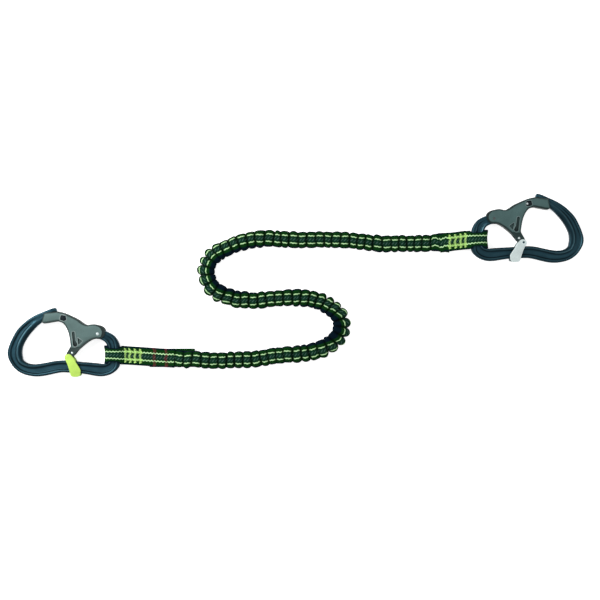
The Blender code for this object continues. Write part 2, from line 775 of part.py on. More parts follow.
def make_core(material):
    rings, _ = gather_rings(PUCKERS + 1, GATHER_WALL, CORE_PLAY)
    return add_mesh("elastic_core", loft(rings), material, 180)


def build_webbing(mats, root):
    pieces = [make_eye(side, mats["webbing"]) for side in ("left", "right")]
    pieces.append(make_layer("left", "overload_fold", FOLD_PATH, FOLD_LINE, mats["webbing"]))
    pieces.append(make_layer("right", "right_tail", TAIL_PATH, TAIL_LINE, mats["webbing"]))
    pieces.append(make_gathered(mats["webbing"]))
    pieces.append(make_core(mats["core"]))
    for piece in pieces:
        attach(piece, root, (0, 0))


def centre_tether(root):
    """Set the tether's middle over the origin."""
    bpy.context.view_layer.update()
    shown = [o for o in bpy.data.objects if o.type in ("MESH", "CURVE") and not o.hide_render]
    corners = [o.matrix_world @ Vector(c) for o in shown for c in o.bound_box]
    middle = [(min(c[k] for c in corners) + max(c[k] for c in corners)) / 2 for k in (0, 1)]
    root.location = (-middle[0], -middle[1], 0)
    bpy.context.view_layer.update()
    for empty in [o for o in bpy.data.objects if o.type == "EMPTY"]:
        place = empty.matrix_world.translation
        print(empty.name, [round(v, 6) for v in place], [round(v, 5) for v in empty.matrix_world.col[1][:3]])


def build():
    clear_scene()
    mats = {
        "frame": make_material("anodised_dark", (0.035, 0.07, 0.085), 0.42, 0.8),
        "gate": make_material("anodised_grey", (0.15, 0.2, 0.19), 0.45, 0.75),
        "left_lever": make_material("lever_lime", (0.62, 0.9, 0.18), 0.45, 0.4),
        "right_lever": make_material("lever_silver", (0.6, 0.66, 0.64), 0.45, 0.7),
        "steel": make_material("rivet_steel", (0.62, 0.64, 0.62), 0.3, 1.0),
        "spring": make_material("spring_steel", (0.35, 0.36, 0.38), 0.35, 1.0),
        "dark": make_material("latch_dark", (0.02, 0.025, 0.03), 0.6, 0.1),
        "webbing": make_material("webbing_dark_green", (0.012, 0.035, 0.028), 0.9, 0.0),
        "core": make_material("elastic_rubber", (0.7, 0.68, 0.6), 0.8, 0.0),
    }
    root = add_empty("tether_origin", None, (0, 0, 0))
    for side in PLACES:
        build_hook(side, mats, root)
    build_webbing(mats, root)
    centre_tether(root)


build()
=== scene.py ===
# %% [markdown]
# A safety tether joins a sailor or a climber to an anchor. It is a run of webbing gathered
# over elastic, with a locking snap hook sewn in at each end. The imported model gives the frame
# that every piece below is fitted to, so the first step loads it and keeps its parts and joints.

# %% Load the imported model
import json
import random
from bisect import bisect_right
from itertools import accumulate, pairwise
from math import atan2, copysign, cos, dist, hypot, pi, radians, sin, sqrt
import bmesh
import bpy
from mathutils import Matrix, Vector, noise


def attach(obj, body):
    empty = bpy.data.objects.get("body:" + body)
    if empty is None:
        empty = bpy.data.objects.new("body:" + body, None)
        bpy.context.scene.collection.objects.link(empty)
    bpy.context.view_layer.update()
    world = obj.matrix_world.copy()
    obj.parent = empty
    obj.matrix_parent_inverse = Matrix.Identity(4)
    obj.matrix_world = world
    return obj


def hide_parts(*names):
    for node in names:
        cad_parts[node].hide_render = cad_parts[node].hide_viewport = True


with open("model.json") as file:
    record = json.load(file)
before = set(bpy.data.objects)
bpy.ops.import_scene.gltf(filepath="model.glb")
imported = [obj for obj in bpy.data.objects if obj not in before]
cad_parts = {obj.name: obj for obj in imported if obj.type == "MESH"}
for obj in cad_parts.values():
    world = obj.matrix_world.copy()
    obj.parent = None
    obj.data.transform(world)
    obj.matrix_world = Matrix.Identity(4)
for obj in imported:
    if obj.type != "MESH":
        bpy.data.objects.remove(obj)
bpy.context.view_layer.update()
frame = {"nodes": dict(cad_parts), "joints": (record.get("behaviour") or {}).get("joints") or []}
MM = 0.001
scene = bpy.context.scene

# %% [markdown]
# The two hooks are one design, and the right one lies turned over. A hook is drawn in
# millimetres about its gate pivot, x to the rear and y to the gate side. The joints say where
# each pivot lies and how the hook is turned, so one matrix takes a drawn hook to its place.

# %% Places of the two hooks
JOINTS = {joint["name"]: joint for joint in frame["joints"]}
SIDES = ("left", "right")


def hook_matrix(side):
    pivot = Vector(JOINTS[side + "_gate_swing"]["pos_m"])
    axis = Vector(JOINTS[side + "_hook_swing"]["axis"])
    flipped = side == "right"
    up = -axis if flipped else axis
    turn = Matrix.Rotation(atan2(-up.x, up.y), 4, "Z")
    flip = Matrix.Rotation(pi if flipped else 0, 4, "Y")
    return Matrix.Translation(pivot) @ turn @ flip @ Matrix.Scale(MM, 4)


HOOKS = {side: hook_matrix(side) for side in SIDES}
ROUTE_SHIFT = HOOKS["left"].translation.xy - Vector((-0.2748, -0.0669))
print("pivots", [tuple(round(v, 4) for v in HOOKS[side].translation) for side in SIDES])

# %% [markdown]
# The camera hangs straight above the tether, about two metres away, as the shop photograph
# was taken. At that distance the near sides of the thick hooks still show.

# %% Camera
FIELD_WIDTH = 0.834
CAMERA_HEIGHT = 2.1
LOOK_AT = Vector((0.0053, -0.02195, 0.009))
SENSOR = 36


def placed(name, data, place=(0, 0, 0)):
    """A new object in the scene."""
    made = bpy.data.objects.new(name, data)
    made.location = place
    scene.collection.objects.link(made)
    return made


camera = placed("camera", bpy.data.cameras.new("camera"), LOOK_AT + Vector((0, 0, CAMERA_HEIGHT)))
camera.data.sensor_width = SENSOR
camera.data.lens = SENSOR * CAMERA_HEIGHT / FIELD_WIDTH
scene.camera = camera
print("lens mm", round(camera.data.lens, 2))

# %% [markdown]
# Cords come next, because their route decides how much of the picture is filled. The gathered
# webbing lies in an S. Its route is a few listed points, with the lean of the flat
# webbing at each, and a smooth curve through them. The lean rolls the webbing outward in the
# two bends, as flat webbing does when it is bent edgewise.

# %% Route of the gathered webbing
ROUTE = [
    (-0.1680, -0.1012, 0), (-0.1500, -0.1016, 0), (-0.1172, -0.1038, 0), (-0.0870, -0.1032, 0),
    (-0.0569, -0.1014, 0), (-0.0268, -0.0974, 0), (0.0033, -0.0945, 2), (0.0238, -0.0910, 6),
    (0.0404, -0.0851, 12), (0.0513, -0.0775, 16), (0.0592, -0.0680, 18), (0.0625, -0.0553, 18),
    (0.0594, -0.0422, 16), (0.0474, -0.0305, 12), (0.0335, -0.0229, 6), (0.0108, -0.0174, 2),
    (-0.0117, -0.0168, 0), (-0.0418, -0.0193, 0), (-0.0630, -0.0199, -4), (-0.0817, -0.0180, -9),
    (-0.0984, -0.0133, -14), (-0.1112, -0.0066, -17), (-0.1197, 0.0027, -17),
    (-0.1240, 0.0170, -18), (-0.1215, 0.0307, -18), (-0.1134, 0.0422, -17),
    (-0.1022, 0.0493, -16), (-0.0870, 0.0562, -14), (-0.0720, 0.0610, -11), (-0.0493, 0.0650, -5),
    (-0.0268, 0.0648, -2), (0.0033, 0.0639, 0), (0.0487, 0.0641, 0), (0.0890, 0.0616, 0),
    (0.1150, 0.0588, 0), (0.1446, 0.0588, 0), (0.1711, 0.0586, 0), (0.1980, 0.0602, 0),
]


def clamp(value, low=0, high=1):
    return min(high, max(low, value))


def smooth(value):
    """An even rise from 0 to 1, with soft ends."""
    value = clamp(value)
    return value * value * (3 - 2 * value)


def rise(value, start, length):
    """The same rise, over a length from a start."""
    return smooth((value - start) / length)


def running(steps):
    """The distance from the start after each step."""
    return [0.0, *accumulate(steps)]


def spline(points, parts):
    """A smooth open curve through the points, with equal parts to a span."""
    points = [Vector(p) for p in points]
    ends = [2 * points[0] - points[1]] + points + [2 * points[-1] - points[-2]]
    curve = []
    for i in range(len(points) - 1):
        a, b, c, d = ends[i : i + 4]
        for k in range(parts):
            t = k / parts
            bend = (c - a) * t + (2 * a - 5 * b + 4 * c - d) * t**2 + (3 * b - a - 3 * c + d) * t**3
            curve.append(b + bend / 2)
    return curve + [points[-1]]


class Route:
    """A curve that gives its point at any distance along it."""

    def __init__(self, points):
        self.points = spline(points, 16)
        self.runs = running((b.xy - a.xy).length for a, b in pairwise(self.points))
        self.length = self.runs[-1]

    def at(self, run):
        run = clamp(run, 0, self.length)
        low = min(bisect_right(self.runs, run), len(self.runs) - 1) - 1
        share = (run - self.runs[low]) / (self.runs[low + 1] - self.runs[low])
        return self.points[low].lerp(self.points[low + 1], share)


gather_route = Route([(x + ROUTE_SHIFT.x, y + ROUTE_SHIFT.y, lean) for x, y, lean in ROUTE])
print("gathered webbing, m:", round(gather_route.length, 3))

# %% [markdown]
# The cross-section of the gathered part is a flat oval. At its two ends it thins down to the
# sewn webbing that it grows out of. Its height follows from its lean: it lies on its lowest
# side, except by the left neck, where it climbs over the end of the overload fold.

# %% Section and height of the gathered webbing
HALF_WIDE = 0.011
HALF_THICK = 0.0067
NECK_HALF = 0.0024
END_THICK = NECK_HALF + 0.0002
NECK_END_Z = 0.008
FOLD_CLIMB, FOLD_RAMP, FOLD_END = 0.0017, 0.026, 0.028
SETTLE, NECK_RAMP = 0.034, 0.030
SWELL = 0.030
FLOOR_GAP = 0.0003


def gather_frame(run):
    """Centre, flat direction, upward direction, half width and half thickness at a distance."""
    length = gather_route.length
    point, before, after = (gather_route.at(run + step) for step in (0, -0.002, 0.002))
    ahead = Vector((after.x - before.x, after.y - before.y, 0)).normalized()
    right = Vector((ahead.y, -ahead.x, 0))
    lean = radians(point.z)
    swell = sin(pi / 2 * min(1, min(run, length - run) / SWELL))
    thick = END_THICK + (HALF_THICK - END_THICK) * swell
    lying = FLOOR_GAP + hypot(HALF_WIDE * sin(lean), thick * cos(lean))
    over_fold = NECK_END_Z + FOLD_CLIMB * sin(pi / 2 * min(1, run / FOLD_RAMP))
    lifted = over_fold + (lying - over_fold) * rise(run, FOLD_END, SETTLE)
    height = NECK_END_Z + (lifted - NECK_END_Z) * clamp((length - run) / NECK_RAMP)
    flat = right * cos(lean) - Vector((0, 0, sin(lean)))
    up = right * sin(lean) + Vector((0, 0, cos(lean)))
    return Vector((point.x, point.y, height)), flat, up, HALF_WIDE, thick, lean


print("height in the right-hand bend, mm:", round(gather_frame(0.25)[0].z * 1000, 1))

# %% [markdown]
# One helper makes every swept skin. Blender's grid operator gives a flat net of squares with a
# UV map; each point of the net is then moved to its place on the surface, the seam is merged
# and the ends are filled. Attributes carry what the materials need, such as worn edges and
# painted shade.

# %% Helper for swept skins
def swept(name, along, around, place, marks, uv=None):
    """A closed tube from a grid: place(i, j) gives the point of ring i, spoke j."""
    bm = bmesh.new()
    bmesh.ops.create_grid(bm, x_segments=along, y_segments=around, size=0.5, calc_uvs=True)
    layer = bm.verts.layers.float.new("mark")
    grid = {}
    for vert in bm.verts:
        grid[vert] = (round((vert.co.x + 0.5) * along), round((vert.co.y + 0.5) * around))
    if uv:
        uvs = bm.loops.layers.uv.verify()
        for face in bm.faces:
            for loop in face.loops:
                loop[uvs].uv = uv(*grid[loop.vert])
    for vert, (i, j) in grid.items():
        vert.co = place(i, j % around)
        vert[layer] = marks(i, j % around)
    bmesh.ops.remove_doubles(bm, verts=bm.verts, dist=1e-6)
    bmesh.ops.holes_fill(bm, edges=[e for e in bm.edges if e.is_boundary], sides=0)
    bmesh.ops.recalc_face_normals(bm, faces=bm.faces)
    return finished(name, bm)


def finished(name, bm):
    mesh = bpy.data.meshes.new(name)
    bm.to_mesh(mesh)
    bm.free()
    mesh.shade_smooth()
    return placed(name, mesh)


def evaluated(source):
    """The mesh that an object's curve or modifiers make; the object is removed."""
    bpy.context.view_layer.update()
    mesh = bpy.data.meshes.new_from_object(source.evaluated_get(bpy.context.evaluated_depsgraph_get()))
    bpy.data.objects.remove(source)
    return mesh


def dress(piece, material, body, *nodes, slot):
    """Give a piece its material, the body that it rides on and the nodes that it stands for."""
    piece.data.materials.clear()
    piece.data.materials.append(material)
    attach(piece, body)
    if nodes:
        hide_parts(*nodes)


print("helpers ready")

# %% [markdown]
# A finish is a tree of shader nodes. The next helpers add one node each, with its links, so
# that the finishes below read as sums.

# %% Helpers for shaders
def connect(tree, node, links):
    """Join outputs to a node's inputs, by name or number, or set plain values there."""
    for source, target in links:
        if hasattr(source, "node"):
            tree.links.new(source, node.inputs[target])
        else:
            node.inputs[target].default_value = source


def add(tree, kind, links=(), **values):
    """A node with its settings and links."""
    node = tree.nodes.new("ShaderNode" + kind)
    for key, value in values.items():
        setattr(node, key, value)
    connect(tree, node, links)
    return node


def maths(tree, operation, a, b=0.0):
    return add(tree, "Math", [(a, 0), (b, 1)], operation=operation).outputs[0]


def times(tree, a, b):
    return maths(tree, "MULTIPLY", a, b)


def plus(tree, a, b):
    return maths(tree, "ADD", a, b)


def remap(tree, value, low, high, to_low=0.0, to_high=1.0):
    links = [(value, "Value"), (low, "From Min"), (high, "From Max")]
    return add(tree, "MapRange", links + [(to_low, "To Min"), (to_high, "To Max")]).outputs["Result"]


def mixed(tree, share, a, b):
    return add(tree, "Mix", [(share, 0), (a, 6), (b, 7)], data_type="RGBA").outputs[2]


def scaled(tree, colour, by):
    return add(tree, "VectorMath", [(colour, 0), (by, "Scale")], operation="SCALE").outputs[0]


def noisy(tree, place, scale, detail=2.0):
    return add(tree, "TexNoise", [(place, 0), (scale, "Scale"), (detail, "Detail")]).outputs["Fac"]


def bumped(tree, height, strength, distance):
    links = [(height, "Height"), (strength, "Strength"), (distance, "Distance")]
    return add(tree, "Bump", links).outputs["Normal"]


def new_material(name):
    """A material with its node tree and its Principled shader."""
    material = bpy.data.materials.new(name)
    material.use_nodes = True
    return material, material.node_tree, material.node_tree.nodes["Principled BSDF"]


print("shader helpers ready")

# %% [markdown]
# Shop photographs of small gear are lit by soft boxes over white paper. One large soft light
# at the upper left, two weaker ones at the sides and a white world do the same. The paper
# glows a little to the camera and to shiny metal, so it shows white and shadows stay faint.

# %% Light and paper
WORLD_GLOW = 0.32
PAPER_GLOW = 0.80
PAPER_DROP = 0.0006


def area_light(name, place, size, power):
    """A square soft box that faces the middle of the tether."""
    light = bpy.data.lights.new(name, "AREA")
    light.size = size
    light.energy = power
    lamp = placed(name, light, place)
    lamp.rotation_euler = (Vector() - Vector(place)).to_track_quat("-Z", "Y").to_euler()


area_light("key_soft_box", (-1.05, 0.65, 1.3), 0.8, 22)
area_light("left_soft_box", (-1.6, 0.0, 0.9), 0.9, 5)
area_light("right_soft_box", (1.6, -0.4, 1.1), 0.9, 6)

world = bpy.data.worlds.new("white_studio")
scene.world = world
world.use_nodes = True
sky = [((1, 1, 1, 1), "Color"), (WORLD_GLOW, "Strength")]
connect(world.node_tree, world.node_tree.nodes["Background"], sky)

paper, tree, shader = new_material("white_paper")
rays = add(tree, "LightPath").outputs
seen = maths(tree, "MAXIMUM", rays["Is Camera Ray"], rays["Is Glossy Ray"])
look = [((0.9, 0.9, 0.9, 1), "Base Color"), (0.9, "Roughness"), (0.1, "Specular IOR Level")]
look += [((1, 1, 1, 1), "Emission Color"), (times(tree, seen, PAPER_GLOW), "Emission Strength")]
connect(tree, shader, look)

bm = bmesh.new()
bmesh.ops.create_grid(bm, x_segments=2, y_segments=2, size=6)
bmesh.ops.translate(bm, vec=(0, 0, -PAPER_DROP), verts=bm.verts)
floor = finished("paper_floor", bm)
floor.data.materials.append(paper)
scene.view_settings.view_transform = "Standard"

# %% [markdown]
# Two effects are shared by several finishes, so each is a shader node group with named
# sockets: worn metal, which has fine grain, blotches, pale worn edges and painted light, and
# the weave of webbing. The mark attribute of a mesh is above 0 on edges that wear, which on
# the frame's crests also carry a painted highlight, and below 0 where shade is painted: in
# hollows, on walls, and on flanks and shoulders that face away from the light.

# %% Shared shader groups
def group(name, inputs):
    """A node group, its inputs and its output node for colour, roughness and height."""
    tree = bpy.data.node_groups.new(name, "ShaderNodeTree")
    for label, value in inputs.items():
        kind = "NodeSocketColor" if isinstance(value, tuple) else "NodeSocketFloat"
        tree.interface.new_socket(label, in_out="INPUT", socket_type=kind).default_value = value
    for label, kind in (("Colour", "Color"), ("Roughness", "Float"), ("Height", "Float")):
        tree.interface.new_socket(label, in_out="OUTPUT", socket_type="NodeSocket" + kind)
    return tree, tree.nodes.new("NodeGroupInput").outputs, tree.nodes.new("NodeGroupOutput")


def group_finish(name, colour, effect_tree, values, strength, distance, more):
    """A material whose shader takes colour, roughness and bumps from a group."""
    material, tree, shader = new_material(name)
    if colour:
        material.diffuse_color = colour
    links = [(value, label) for label, value in values.items()]
    made = add(tree, "Group", links, node_tree=effect_tree).outputs
    connect(tree, shader, [(made["Colour"], "Base Color"), (made["Roughness"], "Roughness"), *more])
    connect(tree, shader, [(bumped(tree, made["Height"], strength, distance), "Normal")])
    return material


print("group helpers ready")

# %% Worn metal, with painted highlights and painted shade
# Colour, roughness and height come from grain, blotches, worn edges with painted highlights,
# and painted shade
METAL_INPUTS = {"Colour": (0.5, 0.5, 0.5, 1), "Highlight And Worn Colour": (0.6, 0.6, 0.6, 1)}
METAL_INPUTS.update({"Roughness": 0.4, "Grain Scale": 900.0, "Wear And Highlight": 0.5})
metal_group, given, out = group("worn_metal_painted_light", METAL_INPUTS)
t = metal_group
place = add(t, "TexCoord").outputs["Object"]
grain = noisy(t, place, given["Grain Scale"], 3.0)
blotch = noisy(t, place, 60.0, 4.0)
edge = add(t, "Attribute", attribute_name="mark").outputs["Fac"]
raised = maths(t, "MAXIMUM", edge, 0.0)
painted_shade = maths(t, "MAXIMUM", times(t, edge, -1.0), 0.0)
# Above a mark of 0 the worn colour shows: wear, and on the frame's crests a painted highlight
wear_and_highlight_share = times(t, times(t, raised, remap(t, blotch, 0.42, 0.62, 0.55, 1.0)), given["Wear And Highlight"])
tone = times(t, remap(t, blotch, 0.3, 0.7, 0.9, 1.08), remap(t, grain, 0.3, 0.7, 0.94, 1.06))
toned = mixed(t, wear_and_highlight_share, scaled(t, given["Colour"], tone), given["Highlight And Worn Colour"])
rough = plus(t, given["Roughness"], remap(t, blotch, 0.3, 0.7, -0.05, 0.06))
rough = maths(t, "SUBTRACT", rough, times(t, wear_and_highlight_share, 0.12))
# Painted shade: below a mark of 0 the colour darkens, to a tenth at a mark of -1
sunk = scaled(t, toned, remap(t, painted_shade, 0.0, 1.0, 1.0, 0.10))
connect(t, out, [(sunk, "Colour"), (rough, "Roughness"), (grain, "Height")])


def metal(name, colour, highlight_and_worn_colour, roughness, metallic, grain_scale=900.0, wear_and_highlight=0.5, bump=0.15):
    colour = (*colour, 1)
    values = {"Colour": colour, "Highlight And Worn Colour": (*highlight_and_worn_colour, 1), "Roughness": roughness}
    values.update({"Grain Scale": grain_scale, "Wear And Highlight": wear_and_highlight})
    more = [(metallic, "Metallic"), (0.25, "Specular IOR Level")]
    return group_finish(name, colour, metal_group, values, bump, 0.0002, more)


SLATE = metal("slate_anodised", (0.025, 0.077, 0.105), (0.10, 0.19, 0.22), 0.43, 0.8, wear_and_highlight=0.8)
GREY = metal("grey_casting", (0.123, 0.196, 0.188), (0.36, 0.44, 0.43), 0.5, 0.4, 700.0, 0.8, 0.25)
# A darker copy of the grey finish for the turned-over right gate, as painted shade
GREY_PAINTED_SHADE = metal(
    "grey_casting_painted_shade", (0.095, 0.172, 0.168), (0.24, 0.33, 0.325), 0.5, 0.4, 700.0, 0.8, 0.25
)
LIME = metal("lime_anodised", (0.60, 0.90, 0.16), (0.72, 0.95, 0.38), 0.38, 0.1, wear_and_highlight=0.4)
SILVER = metal("silver_anodised", (0.80, 0.92, 0.91), (0.90, 0.96, 0.95), 0.36, 0.25, wear_and_highlight=0.4)
STEEL = metal("rivet_steel", (0.74, 0.84, 0.84), (0.90, 0.94, 0.94), 0.34, 0.3, wear_and_highlight=0.3, bump=0.08)
SPRING_WIRE = metal("spring_wire", (0.35, 0.36, 0.38), (0.6, 0.6, 0.6), 0.35, 1.0, wear_and_highlight=0.0)
LATCH_BLACK = metal("latch_black", (0.012, 0.02, 0.026), (0.05, 0.06, 0.07), 0.45, 0.3, wear_and_highlight=0.3)
print("metal finishes:", [finish.name for finish in (SLATE, GREY, LIME, SILVER, STEEL)])

# %% [markdown]
# The webbing is dark green with a bluish middle band and two pale tracer stripes. Its UV map
# holds metres: U along the webbing and V across it from the middle line, so every band is a
# distance from that line. A herringbone of fine ribs gives the weave, pale dashes of twill lie
# on the middle band, and the back is navy. A mark of 1 is the bottom of a crease, and shade is
# painted there: the webbing is darker, and the stripes fade out.

# %% Webbing material
TURN = 6.2832
weave_group, given, out = group(
    "webbing_weave",
    {
        "Ground": (0.0042, 0.045, 0.0062, 1),
        "Middle": (0.0062, 0.034, 0.029, 1),
        "Back": (0.0022, 0.0095, 0.0190, 1),
        "Stripe": (0.62, 0.98, 0.50, 1),
        "Fleck": (0.12, 0.21, 0.20, 1),
        "Stripe Place": 0.0053,
        "Stripe Half": 0.00073,
        "Back Start": 0.0125,
        "Rib Pitch": 0.0011,
        "Ripple": 0.0005,
    },
)
t = weave_group
uv = add(t, "UVMap").outputs["UV"]
split = add(t, "SeparateXYZ", [(uv, 0)]).outputs
along, across = split["X"], split["Y"]
distance = maths(t, "ABSOLUTE", across)
mark = add(t, "Attribute", attribute_name="mark").outputs["Fac"]
# The two stripes, which waver a little
wobble = noisy(t, uv, 900.0)
wave = times(t, along, 1420.0)
ripple = times(t, maths(t, "SINE", wave), given["Ripple"])
stray = plus(t, times(t, maths(t, "SUBTRACT", wobble, 0.5), 0.0006), ripple)
off = maths(t, "ABSOLUTE", maths(t, "SUBTRACT", plus(t, distance, stray), given["Stripe Place"]))
half = given["Stripe Half"]
stripe = remap(t, off, times(t, half, 0.8), times(t, half, 1.25), 1.0, 0.0)
# Painted shade in the creases: the stripes fade out where the mark is high
stripe = times(t, stripe, remap(t, mark, 0.35, 0.8, 1.0, 0.0))
# The herringbone of ribs and the yarns across it
ribs = maths(t, "DIVIDE", along, given["Rib Pitch"])
zigzag = maths(t, "PINGPONG", maths(t, "DIVIDE", across, 0.0018), 1.0)
rib_wave = maths(t, "SINE", times(t, plus(t, ribs, times(t, zigzag, 0.5)), TURN))
yarn_wave = maths(t, "SINE", times(t, maths(t, "DIVIDE", across, 0.00055), TURN))
weave = plus(t, times(t, rib_wave, 0.5), times(t, yarn_wave, 0.35))
# The bands, and the dashes of twill on the middle one
middle = remap(t, distance, 0.0032, 0.0042, 1.0, 0.0)
share = times(t, middle, plus(t, remap(t, wobble, 0.5, 0.66, 0.0, 0.6), 0.4))
ground = mixed(t, share, given["Ground"], given["Middle"])
back_end = plus(t, given["Back Start"], 0.0022)
backed = mixed(t, remap(t, distance, given["Back Start"], back_end), ground, given["Back"])
striped = mixed(t, stripe, backed, given["Stripe"])
twill = plus(t, plus(t, wave, times(t, across, 1300.0)), times(t, wobble, 2.5))
dash = remap(t, maths(t, "SINE", twill), 0.45, 0.9)
dash = times(t, dash, remap(t, distance, 0.0011, 0.0019, 1.0, 0.0))
striped = mixed(t, times(t, dash, 0.65), striped, given["Fleck"])
# Painted shade: the colour darkens to 0.42 at the bottom of a crease; the weave's ribs vary it
light = times(t, remap(t, weave, -0.85, 0.85, 0.72, 1.25), remap(t, mark, 0.0, 1.0, 1.0, 0.42))
rough = remap(t, weave, -0.85, 0.85, 0.9, 0.72)
height = plus(t, weave, times(t, stripe, 0.6))
connect(t, out, [(scaled(t, striped, light), "Colour"), (rough, "Roughness"), (height, "Height")])


def webbing_material(name, stripe_place, back_start, ripple=0.0005):
    values = {"Stripe Place": stripe_place, "Back Start": back_start, "Ripple": ripple}
    more = [(0.02, "Specular IOR Level"), (0.01, "Sheen Weight"), (0.5, "Sheen Roughness")]
    return group_finish(name, None, weave_group, values, 0.6, 0.00025, more)


GATHERED = webbing_material("gathered_webbing", 0.0053, 0.0098, 0.00025)
FLAT = webbing_material("flat_webbing", 0.0049, 0.0090)
PLAIN = webbing_material("plain_webbing", 0.0600, 0.0128)
print("webbing bands: middle, stripes, edges and back")

# %% [markdown]
# The gathered part is a webbing sleeve, sewn on while its elastic core was stretched. When the
# elastic drew back, the sleeve folded into about seventy puffs with narrow creases between.
# One swept skin makes it: rings are packed close at each crease, every point is pushed in by
# the depth of its crease, and the amount differs round the section. On the outer side of a
# bend the webbing is longer than the cord beneath, so there the puffs stand up as round loops.

# %% Puffs and their irregular spacing
PUFFS = 70
RINGS = 14
SPOKES = 56
dice = random.Random(11)


def scatter(low, high, count=PUFFS):
    return [dice.uniform(low, high) for _ in range(count)]


shares = [1 + off for off in scatter(-0.13, 0.13)]
creases = running(share / sum(shares) * gather_route.length for share in shares)
skew = scatter(-0.0013, 0.0013, len(creases))
gain = scatter(0.75, 1.2, len(creases))
swollen = scatter(-0.0003, 0.0006)
aside = scatter(-0.0007, 0.0007)
tilt = scatter(-0.0009, 0.0009)
slant = scatter(-0.0006, 0.0003)
arch = scatter(-0.0002, 0.0009)
# The first two puffs lie as they do by the left neck
aside[0], aside[1], arch[1], slant[0] = 0.0006, 0.0016, -0.0022, 0.0006
print("mean length of a puff, mm:", round(gather_route.length / PUFFS * 1000, 1))

# %% Section of the sleeve, with points at equal steps round it
SECTION_POWER = 2.5
SECTION_WIDE = 11.6
SECTION_THICK = 6.8


def section_points(count):
    """Unit points, outward normals and girth (0 on top, positive to the right) round an oval."""
    fine = []
    for k in range(721):
        angle = radians(-90 + k / 2)
        ways = cos(angle), sin(angle)
        fine.append(Vector([copysign(abs(way) ** (2 / SECTION_POWER), way) for way in ways]))
    steps = ((b.x - a.x, b.y - a.y) for a, b in pairwise(fine))
    runs = running(hypot(x * SECTION_WIDE, y * SECTION_THICK) for x, y in steps)
    points = []
    for j in range(count + 1):
        want = runs[-1] * j / count
        point = fine[min(range(len(runs)), key=lambda n: abs(runs[n] - want))]
        slope = [abs(c) ** (SECTION_POWER - 1) for c in point]
        normal = Vector((slope[0] / SECTION_WIDE, slope[1] / SECTION_THICK))
        normal = Vector((copysign(normal.x, point.x), copysign(normal.y, point.y))).normalized()
        points.append((point, normal, (runs[-1] / 2 - want) * MM))
    return points


SECTION = section_points(SPOKES)
print("girth of the sleeve, mm:", round(SECTION[0][2] * 2000, 1))

# %% Rings of the sleeve
FULL_LEAN = radians(18)
BEND_STEP = 0.012
FULL_TURN = 0.25
CREASE_TOP, CREASE_SIDE, LOOP_STAND = 0.0034, 0.0018, 0.0060
LOOP_FROM, LOOP_SHARP, CREASE_SHARP = 0.45, 1.5, 2.8
BACK_FROM = 0.0180
CREST_OVER, BEND_SPREAD, LOOP_SPREAD, NECK_SPREAD = 0.0005, 0.0014, 0.0010, 0.0009
PUFF_OVER, CRUMPLE = 0.0003, 0.0005
LEAN_ROLL, FULL_ROLL = 0.0031, 0.0042
CREASE_SHADE_DEPTH = 0.0022
ring_cache = {}


def bend_of(run):
    """How sharply the route turns to the left, 1 in the tight bends."""
    a, b, c = (gather_route.at(run + step).xy for step in (-BEND_STEP, 0, BEND_STEP))
    if min((b - a).length, (c - b).length) < BEND_STEP / 2:
        return 0.0
    return clamp(-(b - a).angle_signed(c - b) / FULL_TURN, -1)


def sleeve_run(i):
    puff, step = divmod(i, RINGS)
    if puff == PUFFS:
        return gather_route.length, PUFFS - 1, 1.0
    inside = 0.5 - 0.5 * cos(pi * step / RINGS)
    return creases[puff] + inside * (creases[puff + 1] - creases[puff]), puff, inside


def ring_facts(i):
    """Run, puff, place in the puff, fade towards the necks, bend and frame of a ring."""
    if i not in ring_cache:
        run, puff, inside = sleeve_run(i)
        fade = min(rise(run, -0.004, 0.009), rise(gather_route.length - run, 0, 0.016))
        ring_cache[i] = (run, puff, inside, fade, bend_of(run), gather_frame(run))
    return ring_cache[i]


print("turn in the two bends:", [round(bend_of(run), 2) for run in (0.25, 0.5)])

# %% Shape of one point of the sleeve
def crease_depth(i, j):
    """Depth of the crease at a point, from 0 on a puff to 1 in it, and its reach in metres."""
    run, puff, inside, fade, bend, _ = ring_facts(i)
    _, normal, girth = SECTION[j]
    outer = max(0, normal.x * copysign(1, bend)) ** LOOP_SHARP * rise(abs(bend), LOOP_FROM, 0.5)
    under = rise(abs(girth), BACK_FROM, 0.005)
    phase = (inside + 0.5 * under * (1 - smooth(abs(bend) * 1.3))) % 1.0
    u = abs(2 * phase - 1)
    depth = (1 - outer) * u**CREASE_SHARP + outer * (1 - sqrt(max(0, 1 - u * u)))
    side_gain = gain[puff] * (1 - inside) + gain[puff + 1] * inside
    reach = (CREASE_TOP - CREASE_SIDE * abs(normal.x) + LOOP_STAND * outer) * side_gain
    return depth, reach * fade


def sleeve_point(i, j):
    run, puff, inside, fade, bend, (centre, flat, up, wide, thick, lean) = ring_facts(i)
    point, normal, girth = SECTION[j]
    depth, reach = crease_depth(i, j)
    wave = sin(pi * inside) * fade
    outward = point.x * copysign(1, bend)
    crest_wide = wide + CREST_OVER + (BEND_SPREAD + LOOP_SPREAD * outward) * abs(bend) * fade
    crest_wide += NECK_SPREAD * (1 - fade)
    swell = swollen[puff] * wave - depth * reach
    swell += noise.noise(Vector((run / 0.006, girth / 0.007, 3.0))) * CRUMPLE * fade
    across = point.x * crest_wide + normal.x * swell
    across += aside[puff] * wave + tilt[puff] * wave * (inside - 0.5) * 2
    height = point.y * (thick + PUFF_OVER) + normal.y * swell
    slide = skew[puff] * (1 - inside) + skew[puff + 1] * inside
    place = centre + flat * across + up * height - flat.cross(up) * slide * point.x * fade
    return Vector((place.x, place.y, max(place.z, 0.0001)))


# Painted shade in the creases: the mark grows with a crease's depth, up to 1
def sleeve_mark(i, j):
    depth, reach = crease_depth(i, j)
    return min(1, depth * reach / CREASE_SHADE_DEPTH)


